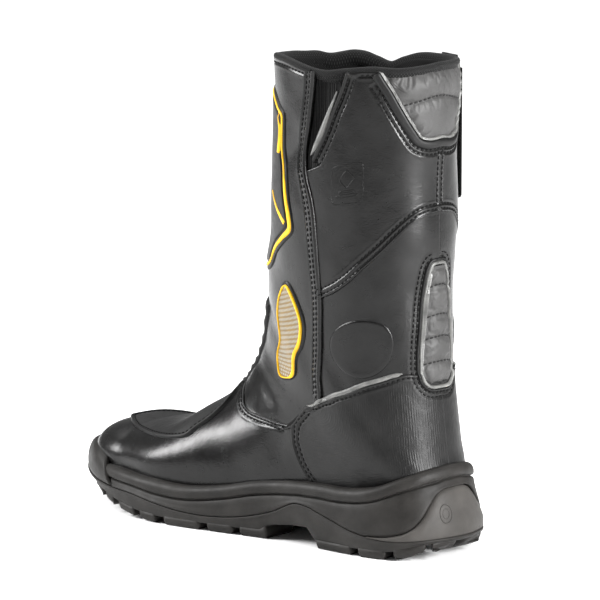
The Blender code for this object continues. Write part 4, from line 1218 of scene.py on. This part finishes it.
def build_stamp(tree):
    """A plain frame pressed into the leather, with a diamond and two bars in it."""
    middle_t, level = 0.647, 0.115
    shapes = [(0.8525, 0.0235, 0.060, 9.0), (0.8585, 0.0105, 0.028, 1.15),
              (0.8385, 0.0016, 0.043, 4.0), (0.8435, 0.0012, 0.030, 4.0)]
    for side, name in both("stamp"):
        for i, (middle_s, high, wide, power) in enumerate(shapes):
            s, t = trace(oval(middle_s, middle_t, high, wide, power, level), 0.7, closed=True)
            place, normal = drape(tree, s[:-1], t[:-1] * side)
            points, faces = sweep(place, 0.40, 6, closed=True, squash=0.55, ups=normal)
            made = add_object(f"{name}_{i}", points, faces, LEATHER)
            finish_piece(made, (), "shaft")


# ---------------------------------------------------------------- sole
OUTER_EDGE = [(-10, -157), (12, -151), (29, -137), (45, -112), (55, -78), (56, -40), (50, 0),
              (44.5, 35), (44.5, 75), (44, 115), (36, 140), (22, 152), (0, 157)]
INNER_EDGE = [(-10, -157), (-31, -151), (-43, -137), (-50, -112), (-53, -78), (-51, -40),
              (-42, 0), (-37.5, 35), (-40, 75), (-42, 115), (-35, 140), (-21, 152), (0, 157)]
RAND_TOP = [(-157, 33), (-120, 31), (-88, 29.5), (-60, 28), (-30, 27), (0, 31), (20, 35.5),
            (44, 39), (70, 40.8), (94, 41), (117, 44.5), (135, 51), (157, 57)]
TREAD_LINE = [(-157, 24), (-140, 21.5), (-120, 19), (-98, 17.5), (-74, 16.5), (-52, 13.2), (-31, 10.8),
              (-10, 10.2), (14, 12.8), (36, 18.5), (56, 26.5), (66, 25.8), (76, 23), (88, 19.5),
              (100, 16), (112, 14), (125, 12.8), (157, 14.5)]
HEEL_LINE = [(112, 14), (122, 14.4), (131, 15.8), (139, 18.6), (144.5, 23), (148.5, 29), (151, 35),
             (153, 40), (155, 43), (157, 44)]
BUMPER_TOP = [(-157, 38.5), (-140, 40), (-122, 39), (-110, 35), (-98, 31), (-85, 29)]
EDGE_STEPS = 300
BUMPER_BACK = -101         # y where the bumper's edges meet the midsole
HEEL_PANEL = 112           # y where the heel panel starts


def tread_z(y):
    """Underside of the tread: flat under ball and heel, sprung at the toe, bevelled behind."""
    y = np.asarray(y, float)
    sprung, bevelled = np.maximum(-48 - y, 0), np.maximum(y - 118, 0)
    return 0.0026 * sprung**2 / (1 + 0.004 * sprung) + 0.0069 * bevelled**2


def edge_run(table, mirror):
    """Points along one side of the sole, from toe to heel, on a Catmull-Rom curve."""
    knots = np.array([mirror[1]] + table + [mirror[-2]], float)
    place = np.linspace(0.02, len(table) - 1.02, EDGE_STEPS)
    i = np.minimum(place.astype(int), len(table) - 2)
    u = (place - i)[:, None]
    p = [knots[i + n] for n in range(4)]
    m1, m2 = (p[2] - p[0]) / 2, (p[3] - p[1]) / 2
    return ((2 * u**3 - 3 * u**2 + 1) * p[1] + (u**3 - 2 * u**2 + u) * m1
            + (3 * u**2 - 2 * u**3) * p[2] + (u**3 - u**2) * m2)


def sole_ring():
    """The sole's outline, outer side first, and the way out at each point."""
    outer, inner = edge_run(OUTER_EDGE, INNER_EDGE), edge_run(INNER_EDGE, OUTER_EDGE)
    ring_points = np.vstack([outer, inner[::-1]])
    for _ in range(6):
        ring_points = (np.roll(ring_points, 1, 0) + 2 * ring_points + np.roll(ring_points, -1, 0)) / 4
    way = unit(np.roll(ring_points, -1, 0) - np.roll(ring_points, 1, 0))
    return ring_points, np.stack([way[:, 1], -way[:, 0]], -1)


RING, OUT = sole_ring()


def round_mean(values, reach=5):
    total = sum(np.roll(values, k) for k in range(-reach, reach + 1))
    return total / (2 * reach + 1)


def upper_inset(tree, height):
    """How far in from the outline the upper is, at a height given for each column."""
    found = np.full(len(RING), 6.0)
    for i, (p, n, z) in enumerate(zip(RING, OUT, height)):
        start = Vector((*(p + n * 20), z))
        hit = tree.ray_cast(start, Vector((*-n, 0)), 45)
        if hit[0] is not None:
            found[i] = hit[3] - 20
    return round_mean(np.minimum(found, 14.0))


def wall(rows, slant=0.0):
    """A grid of points from rows of (inset, z), each a value for every column.

    slant moves the upper rows towards the toe and the lower ones back, near the bumper's edges.
    """
    count = len(RING)
    index = np.arange(count)
    toward_toe = np.where(index < EDGE_STEPS, -1.0, 1.0)
    near = np.exp(-((RING[:, 1] + 106) / 16)**2)
    grid = []
    for share, (inset, z) in zip(np.linspace(-1, 1, len(rows)), rows):
        line = np.column_stack([RING - OUT * np.broadcast_to(inset, count)[:, None],
                                np.broadcast_to(z, count)])
        at = index + slant * share * near * toward_toe
        grid.append(np.stack([np.interp(at, index, line[:, k], period=count) for k in range(3)], -1))
    return np.array(grid)


def wall_piece(name, rows, columns, back, look, node, thick=3.5, slant=0.0):
    """Closed band between a wall grid and the same grid further in; columns picks its run."""
    grid = wall(rows, slant)[:, columns]
    way = np.column_stack([OUT, np.zeros(len(RING))])[columns]
    behind = grid - way * thick
    behind[..., 2] = np.clip(behind[..., 2], grid[0, :, 2] + 0.3, None)
    behind[-1] = grid[-1] - way * back
    run = np.arange(grid.shape[1]) * 1.3
    flat = np.stack(np.broadcast_arrays(run, grid[..., 2]), -1).reshape(-1, 2)
    made = shell(name, grid, behind, look, flat)
    return finish_piece(made, node, "foot")


def lean(y, z):
    """How far the wall leans in at height z, at the toe and at the back of the heel."""
    toe = np.interp(y, [-157, -118], [3.6, 0.0]) * smooth((z - 14) / 26)
    heel = np.interp(y, [112, 140, 157], [0.0, 5.5, 9.0]) * smooth((z - 6) / 52)
    return toe + heel


def midsole_rows(low, high, inset, y):
    """Side wall with a rounded bead on top, a deep line under it and a softly domed band."""
    part = np.clip((high - low - 1) / 13, 0.42, 1.0)
    shape = [(2.9, 8.3), (1.9, 7.9), (0.8, 7.5), (0.35, 6.6), (0.25, 5.0), (0.5, 3.2), (1.2, 1.7),
             (2.3, 0.6), (3.6, 0.05)]
    down = lambda d: high - d * part
    rows = [(2.2 + lean(y, low), low + 0.35), (0.9 + lean(y, low), low + 0.35)]
    for bulge, share in ((0.35, 0.0), (-0.1, 0.1), (-0.05, 0.25), (0.35, 0.5), (0.8, 0.75)):
        z = np.minimum(low + 0.35 + (down(10.6) - low - 0.35) * share, down(10.4))
        rows.append((bulge + lean(y, z), z))
    rows += [(bulge + lean(y, down(d)), down(d)) for bulge, d in ((1.0, 9.8), (1.5, 9.2), (2.6, 8.8))]
    rows += [(bulge + lean(y, down(d)), down(d)) for bulge, d in shape]
    first = 3.6 + lean(y, high)
    last = np.maximum(inset + 1.0, first + 1.0)
    return rows + [((first + last) / 2, high), (last, high - 0.5)]


def bumper_rows(low, high, inset, y):
    """Smooth toe bumper, a little proud of the wall, rolled in to the leather on top."""
    tall = high - low
    shape = [(-0.5, 0.15), (-0.9, 0.3), (-1.0, 0.45), (-0.7, 0.6), (0.0, 0.74), (1.0, 0.86)]
    rows = [(2.0 + lean(y, low), low + 0.35), (0.8 + lean(y, low), low + 0.35),
            (0.1 + lean(y, low), low + 1.0)]
    rows += [(bulge + lean(y, low + tall * f), low + tall * f) for bulge, f in shape]
    first = 3.6 + lean(y, high)
    rows += [(2.3 + lean(y, high), high - 1.0), (first, high - 0.2)]
    last = np.maximum(inset + 1.2, first + 1.4)
    return rows + [((first + last) / 2, high), (last, high - 0.7)]


def heel_rows(low, high, y):
    """Panel set in the back of the heel, domed, with a groove all round it."""
    tall = np.maximum(high - low, 0.4)
    shape = [(0.3, 0.0), (0.1, 0.02), (-0.1, 0.06), (-0.5, 0.2), (-0.8, 0.4), (-0.9, 0.6), (-0.5, 0.78),
             (0.3, 0.90), (1.4, 0.98), (3.0, 0.995)]
    return [(bulge + lean(y, low + tall * f), low + tall * f) for bulge, f in shape]


def build_cup(tree):
    y = RING[:, 1]
    top, bumper_top = curve(RAND_TOP, y), curve(BUMPER_TOP, y)
    tread_line = curve(TREAD_LINE, y)
    low = np.where(y > HEEL_PANEL, curve(HEEL_LINE, y), tread_line)
    inset = upper_inset(tree, top - 1.0)
    is_bumper = y < BUMPER_BACK
    count = len(RING)
    first = int(np.argmax(~is_bumper))
    last = count - 1 - int(np.argmax(~is_bumper[::-1]))
    rows = midsole_rows(low, top, inset, y)
    wall_piece("midsole", rows, np.arange(first, last + 1), 2.0, MIDSOLE, "midsole", slant=7.5)
    nose = np.arange(last + 2, first - 1 + count) % count
    rows = bumper_rows(tread_line, bumper_top, upper_inset(tree, bumper_top - 1.0), y)
    wall_piece("toe_bumper", rows, nose, 2.0, BUMPER, "toe_bumper", slant=7.5)
    rear = np.flatnonzero(y > HEEL_PANEL + 1)
    # The heel panel takes the lighter heel rubber, whose lightness is partly a painted highlight.
    wall_piece("heel_clip", heel_rows(tread_line, low, y), rear, 4.0, HEEL_RUBBER_AND_PAINTED_HIGHLIGHT, "heel_clip")


def build_heel_boss():
    """Two plain rings, one in the other, on the outer corner of the heel panel."""
    centre = int(np.argmin(np.hypot(RING[:, 0] - 14, RING[:, 1] - 155)))
    angle = np.linspace(0, 2 * np.pi, 48, endpoint=False)
    middle_z = 29

    def on_heel(along_mm, z):
        at = centre + along_mm / 1.13        # the outline's points are 1.13 mm apart there
        plan, out = (np.stack([np.interp(at, np.arange(len(RING)), values[:, k]) for k in (0, 1)], -1)
                     for values in (RING, OUT))
        far = -0.75 + lean(plan[:, 1], z)
        return np.column_stack([plan - out * far[:, None], z])

    parts = []
    for radius, tube_mm in ((5.6, 0.40), (3.0, 0.30)):
        place = on_heel(radius * np.cos(angle), middle_z + radius * np.sin(angle))
        parts.append(sweep(place, tube_mm, 8, closed=True))
    # The boss shares the heel rubber, lightened partly as a painted highlight.
    made = add_object("heel_boss", *gather(parts), HEEL_RUBBER_AND_PAINTED_HIGHLIGHT)
    finish_piece(made, (), "foot")


def slab_bottom(y):
    """Bottom of the rubber between the lugs, arched up under the waist."""
    arch = np.interp(y, [26, 33, 50, 64, 71], [5.0, 9.5, 12.0, 12.5, 5.0])
    return tread_z(y) + np.where(y > 71, 5.0, arch)


def build_outsole():
    y = RING[:, 1]
    line, bottom = curve(TREAD_LINE, y), slab_bottom(y)
    bottom = np.minimum(bottom, line - 3.0)
    seam = np.where(y > HEEL_PANEL + 4, 0.15, 0.5)      # hardly a groove under the heel panel
    rows = [(2.6, line - 0.1), (seam, line - 0.1), (0.05, line - 0.5), (0.1, line - 1.2),
            (0.5, line - 1.8), (0.9, bottom + 0.55 * (line - bottom)),
            (1.3, bottom + 0.25 * (line - bottom)), (1.7, bottom + 0.4), (2.4, bottom)]
    grid = wall(rows)
    parts = [(grid.reshape(-1, 3), quads(len(rows), len(RING), closed=True)[:, ::-1])]
    share = np.linspace(0, 1, 9)[None, :, None]
    for edge, upward in ((grid[0], True), (grid[-1], False)):
        outer, inner = edge[:EDGE_STEPS], edge[EDGE_STEPS:][::-1]
        cross = outer[:, None] + (inner - outer)[:, None] * share
        if not upward:
            cross[:, 1:-1, 2] = slab_bottom(cross[:, 1:-1, 1])
        parts.append((cross.reshape(-1, 3), quads(EDGE_STEPS, 9)[:, ::1 if upward else -1]))
    made = add_object("outsole", *gather(parts), RUBBER)
    weld(made)
    finish_piece(made, "outsole", "foot")
    build_lugs()


def weld(made, within=0.00002):
    """Join points that meet and make every face look out."""
    work = bmesh.new()
    work.from_mesh(made.data)
    bmesh.ops.remove_doubles(work, verts=work.verts, dist=within)
    bmesh.ops.recalc_face_normals(work, faces=work.faces)
    work.to_mesh(made.data)
    work.free()


# grooves across the tread at the wall, as (y, degrees turned towards the middle)
FORE_GROOVES = [(-126, -30), (-108, -16), (-91, -10), (-70, -4), (-50, 0), (-17, 3), (8, 4)]
HEEL_GROOVES = [(103, 0), (129, 8), (163, 40)]
GROOVE_HALF = 1.9


def groove_y(spot, x):
    y, turn = spot
    wall_x = 42.5
    return y + (abs(x) - wall_x) * math.tan(math.radians(turn))


def lug(side, first, last, middle_x):
    """Plan outline of one lug between two grooves (y, turn), from the middle out to the wall."""
    half, out = (v[:EDGE_STEPS] if side > 0 else v[EDGE_STEPS:][::-1] for v in (RING, OUT))
    edge = half - out * np.interp(half[:, 1], [-157, -105], [4.2, 1.5])[:, None]
    keep = [p for p in edge if abs(p[0]) > middle_x + 4
            and groove_y(first, p[0]) + GROOVE_HALF < p[1] < groove_y(last, p[0]) - GROOVE_HALF]
    if len(keep) < 4:
        return None
    x = side * middle_x
    low = max(groove_y(first, x) + GROOVE_HALF, float(edge[:, 1].min()) + 2.0)
    high = min(groove_y(last, x) - GROOVE_HALF, float(edge[:, 1].max()) - 2.0)
    return np.array([tuple(p) for p in keep] + [(x, high), (x, low)])


def lug_mesh(outline):
    """A lug with rounded foot edges: outline rings from inside the rubber down to the ground."""
    area = 0.5 * np.sum(outline[:, 0] * np.roll(outline[:, 1], -1)
                        - outline[:, 1] * np.roll(outline[:, 0], -1))
    if area < 0:
        outline = outline[::-1]
    fine = []
    for a, b in zip(outline, np.roll(outline, -1, 0)):
        steps = max(int(np.linalg.norm(b - a) / 2.0), 1)
        fine += [a + (b - a) * k / steps for k in range(steps)]
    plan = np.array(fine)
    for _ in range(2):
        plan = (np.roll(plan, 1, 0) + 4 * plan + np.roll(plan, -1, 0)) / 6
    way = unit(np.roll(plan, -1, 0) - np.roll(plan, 1, 0))
    inward = np.stack([-way[:, 1], way[:, 0]], -1)
    y = plan[:, 1]
    top = np.minimum(slab_bottom(y) + 1.0, curve(TREAD_LINE, y) - 2.0)
    rings = [np.column_stack([plan, top])]
    for inset, up in ((0.5, 2.8), (1.1, 1.5), (1.8, 0.5), (2.7, 0.0)):
        rings.append(np.column_stack([plan + inward * inset, tread_z(y) + up]))
    count = len(plan)
    faces = quads(len(rings), count, closed=True)[:, ::-1].tolist()
    centre = np.append(plan.mean(0), tread_z(y.mean()))
    points = np.vstack(rings + [centre[None]])
    base = (len(rings) - 1) * count
    faces += [(base + i, len(points) - 1, base + (i + 1) % count) for i in range(count)]
    faces.append(tuple(range(count)))
    return points, faces


def build_lugs():
    """Lugs along both walls, and a row of small ones down the middle."""
    shapes = []
    past_toe, past_heel = (-200, 0), (220, -14)
    stops = [past_toe] + FORE_GROOVES + [(34, 4)]
    heel_stops = [(68, 0)] + HEEL_GROOVES + [past_heel]
    for side in (1, -1):
        for first, last in zip(stops, stops[1:]):
            shapes.append(lug(side, first, last, 3.0 if first is past_toe else 14.5))
        for first, last in zip(heel_stops, heel_stops[1:]):
            shapes.append(lug(side, first, last, 3.0 if last is past_heel else 13.0))
    for y in (-108, -84, -59, -34, -7):
        shapes.append(np.array([(-11, y - 7), (0, y - 10), (11, y - 7), (11, y + 7), (0, y + 4),
                                (-11, y + 7)], float))
    for y in (84, 106):
        shapes.append(np.array([(-10, y - 8), (10, y - 8), (10, y + 6), (0, y + 9), (-10, y + 6)], float))
    parts = [lug_mesh(shape) for shape in shapes if shape is not None]
    made = add_object("tread_lugs", *gather(parts), RUBBER)
    finish_piece(made, (), "foot")


# ---------------------------------------------------------------- collar, lining and footbed
def build_collar():
    """Bound rim: a knitted band from just outside the leather, over, and down inside."""
    columns = 420
    t = np.linspace(-1, 1, columns, endpoint=False)
    s = rim_s(t)
    profile = [(-1.2, -4.0), (0.1, -1.4), (0.7, -0.7), (0.9, 0.2), (0.6, 1.2), (-0.4, 1.8), (-2.0, 1.9),
               (-3.6, 1.5), (-4.8, 0.6), (-5.5, -2.0), (-5.6, -7.0), (-4.6, -7.4), (-3.2, -5.0)]
    sway = ripple(wave_set(41, 9, 14, 40, 0.10), surf(s, t))
    rows = []
    for lift, up in profile:
        place = surf(s, t, lift + sway)
        place[:, 2] += up + 0.6 * sway
        rows.append(place)
    grid = np.array(rows)
    faces = quads(len(profile) + 1, columns, closed=True) % (len(profile) * columns)
    flat = np.stack(np.broadcast_arrays(t[None, :] * 170.0, np.arange(len(profile))[:, None] * 2.0),
                    -1).reshape(-1, 2)
    made = add_object("collar_binding", grid.reshape(-1, 3), faces, COLLAR, flat)
    weld(made)
    finish_piece(made, "collar_binding", "shaft")


def lining(r, c):
    s = 0.03 + (rim_s(2 * c - 1) - 0.004 - 0.03) * r
    end = np.interp(s, [0, 0.53, 0.56, 1], [0.955, 0.955, 1.0, 1.0])
    return s, (2 * c - 1) * end


def lining_lift(s, t, runs):
    by_gusset = smooth((s - 0.86) / 0.06) * np.exp(-((np.abs(t) - 0.53) / 0.09)**2)
    return -np.interp(s, [0.665, 0.72], [6.9, 4.0]) - 2.6 * by_gusset


def build_lining():
    panel("membrane_lining", lining, (110, 161), lining_lift, LINING, "membrane_lining", thick=1.4,
          stitched=False, calm=0.8)


def build_footbed():
    """Shaped footbed with a raised rim, under the lining."""
    toe_s, heel_s, columns = 0.14, 0.503, 25
    narrower, above_base, thick = 10.2, 8.4, 2.6      # mm
    across = np.linspace(-1, 1, columns)
    rows = []
    for s in np.linspace(toe_s, heel_s, 60):
        ends = surf(np.array([s, s]), np.array([-1.0, 1.0]))
        middle_x, half = ends[:, 0].mean(), (ends[1, 0] - ends[0, 0]) / 2 - narrower
        rows.append(np.column_stack([middle_x + half * across, np.full(columns, ends[0, 1]),
                                     ends[0, 2] + above_base + 1.6 * np.abs(across)**3]))
    top = np.array(rows)
    bottom = top.copy()
    bottom[..., 2] = top[:, columns // 2, None, 2] - thick
    flat = top[..., :2].reshape(-1, 2)
    made = shell("footbed", top, bottom, FOAM, flat)
    weld(made)
    finish_piece(made, "footbed", "foot")


# ---------------------------------------------------------------- pull strap
def strap_frame():
    """Middle of the strap's sewn end on the inner side, and the way along and out of the shaft."""
    here = surf(0.985, -0.665)
    along_rim = surf(0.985, -0.695) - surf(0.985, -0.635)
    along_rim[2] = 0
    along_rim /= np.linalg.norm(along_rim)
    out = np.cross(along_rim, (0, 0, 1.0))
    return here, along_rim, -out if out[0] > 0 else out


def strap_path():
    """Middle line of the webbing loop as (out, z), down the outside and up behind itself."""
    low, inner, outer, top = 214.2, 1.5, 4.9, 294.6
    radius = (outer - inner) / 2
    path = [(inner, z) for z in np.linspace(top, low + radius, 40)]
    path += [(inner + radius - radius * math.cos(a), low + radius - radius * math.sin(a))
             for a in np.linspace(0, math.pi, 13)[1:-1]]
    path += [(outer, z) for z in np.linspace(low + radius, top, 40)]
    return np.array(path)


def build_strap():
    here, way, out = strap_frame()
    path = strap_path()
    tangent = unit(np.gradient(path, axis=0))
    side = np.stack([-tangent[:, 1], tangent[:, 0]], -1)
    across = np.linspace(-8.8, 8.8, 15)
    edge = 0.58 * np.sqrt(np.maximum(1 - (np.abs(across) / 9.1)**10, 0.1))
    faces_of = []
    for sign in (1, -1):
        place = path[:, None] + sign * side[:, None] * edge[None, :, None]
        faces_of.append(here + way * across[None, :, None] + out * place[..., :1]
                        + np.array([0, 0, 1.0]) * (place[..., 1:] - here[2]))
    run = length_along(path)
    flat = np.stack(np.broadcast_arrays(across[None, :], run[:, None]), -1).reshape(-1, 2)
    made = shell("pull_strap", faces_of[0], faces_of[1], WEBBING, flat)
    weld(made, 0.000001)
    finish_piece(made, "pull_strap", "pull_strap")
    strap_stitches(here, way, out)


def strap_stitches(here, way, out):
    """A box of stitches with a cross in it, holding the webbing loop together."""
    half, low, high, lift = 6.5, 264, 293, 5.55
    steps = np.linspace(0, 1, 12)
    rows = [[(x, z) for z in np.linspace(low, high, 12)] for x in (-half, half)]
    rows.append([(x, low) for x in np.linspace(-half, half, 6)])
    rows += [[(x * (1 - 2 * u), low + 27 * u) for u in steps] for x in (-half, half)]
    parts = []
    for row in rows:
        row = np.array(row)
        place = here + way * row[:, :1] + out * lift + np.array([0, 0, 1.0]) * (row[:, 1:] - here[2])
        for a, b in zip(place, place[1:]):
            middle, half = (a + b) / 2, (b - a) * 0.40
            bent = np.array([middle - half, middle - half * 0.6 + out * 0.2, middle + out * 0.3,
                             middle + half * 0.6 + out * 0.2, middle + half])
            parts.append(sweep(bent, [0.15, 0.36, 0.4, 0.36, 0.15], 6, ups=np.tile(out, (5, 1))))
    made = add_object("strap_stitches", *gather(parts), THREAD)
    finish_piece(made, (), "pull_strap")


def build_strap_tab():
    """Small leather tab that holds the loop at the rim."""
    here, way, out = strap_frame()
    half_wide, low, high = 9.0, 298.4, 302.8
    a, z = np.meshgrid(np.linspace(-half_wide, half_wide, 19), np.linspace(low, high, 9))
    dome = (1 - (np.abs(a) / (half_wide + 0.4))**8) * (1 - (np.abs(z - (low + high) / 2) / 2.5)**4)
    place = here + out * (1.5 + 0.9 * np.sqrt(np.maximum(dome, 0)))[..., None] + way * a[..., None]
    place[..., 2] = z
    behind = place - out * 1.2
    flat = np.stack([a, z], -1).reshape(-1, 2)
    made = shell("strap_tab", place, behind, STRIP, flat)
    weld(made, 0.000001)
    finish_piece(made, "strap_tab", "shaft")


# ---------------------------------------------------------------- kept CAD nodes
def dress_kept_nodes():
    looks = {"insole_board": BOARD, "shank_plate": STEEL, "puncture_plate": TEXTILE,
             "toe_cap": STEEL, "heel_stiffener": COUNTERBOARD}
    for node, look in looks.items():
        made = bpy.data.objects[node]
        if not made.material_slots:
            made.data.materials.append(look)
        for place in made.material_slots:
            place.material = look


# ---------------------------------------------------------------- studio
def area_light(name, place, aim, size, power):
    data = bpy.data.lights.new(name, "AREA")
    data.shape = "RECTANGLE"
    data.size, data.size_y = size
    data.energy = power
    made = bpy.data.objects.new(name, data)
    bpy.context.scene.collection.objects.link(made)
    made.location = place
    made.rotation_euler = (Vector(aim) - Vector(place)).to_track_quat("-Z", "Y").to_euler()


def build_studio():
    floor = add_object("floor", [(-6000, -6000, 0), (6000, -6000, 0), (6000, 6000, 0), (-6000, 6000, 0)],
                       [(0, 1, 2, 3)], plain_look("floor_paper", grey(0.90), grey(0.93), 0.9, grain=3))
    world = bpy.data.worlds.new("studio")
    world.use_nodes = True
    world.node_tree.nodes["Background"].inputs["Color"].default_value = (1, 1, 1, 1)
    world.node_tree.nodes["Background"].inputs["Strength"].default_value = 0.24
    bpy.context.scene.world = world
    bpy.context.scene.view_settings.view_transform = "Standard"
    area_light("window_left", (1.00, -1.25, 0.95), (0, 0, 0.10), (0.5, 1.0), 60)
    area_light("window_rear", (-0.1, 1.8, 0.7), (0, 0, 0.15), (0.45, 1.1), 95)
    ceiling = bpy.data.lights.new("ceiling", "SUN")
    ceiling.energy = 2.9
    ceiling.angle = math.radians(75)
    made = bpy.data.objects.new("ceiling", ceiling)
    bpy.context.scene.collection.objects.link(made)
    made.rotation_euler = (math.radians(8), math.radians(-6), 0)


def build_camera():
    """From 42 degrees behind the outer side and 10 degrees up, with a long lens 3 m away."""
    data = bpy.data.cameras.new("camera")
    data.lens = 290.04
    made = bpy.data.objects.new("camera", data)
    bpy.context.scene.collection.objects.link(made)
    made.location = (2.229, 2.007, 0.6495)
    aim = Vector((-0.0233, 0, 0.1397)) - made.location
    made.rotation_euler = aim.to_track_quat("-Z", "Y").to_euler()
    bpy.context.scene.camera = made


def main():
    build_camera()
    build_studio()
    build_panels()
    build_gussets()
    build_flex_strip()
    skin = ground()
    build_cup(skin)
    build_outsole()
    build_heel_boss()
    build_pads()
    build_patches()
    skin = ground()
    build_bands(skin)
    build_stamp(skin)
    build_stitches(ground())
    build_collar()
    build_lining()
    build_footbed()
    build_strap()
    build_strap_tab()
    dress_kept_nodes()


main()
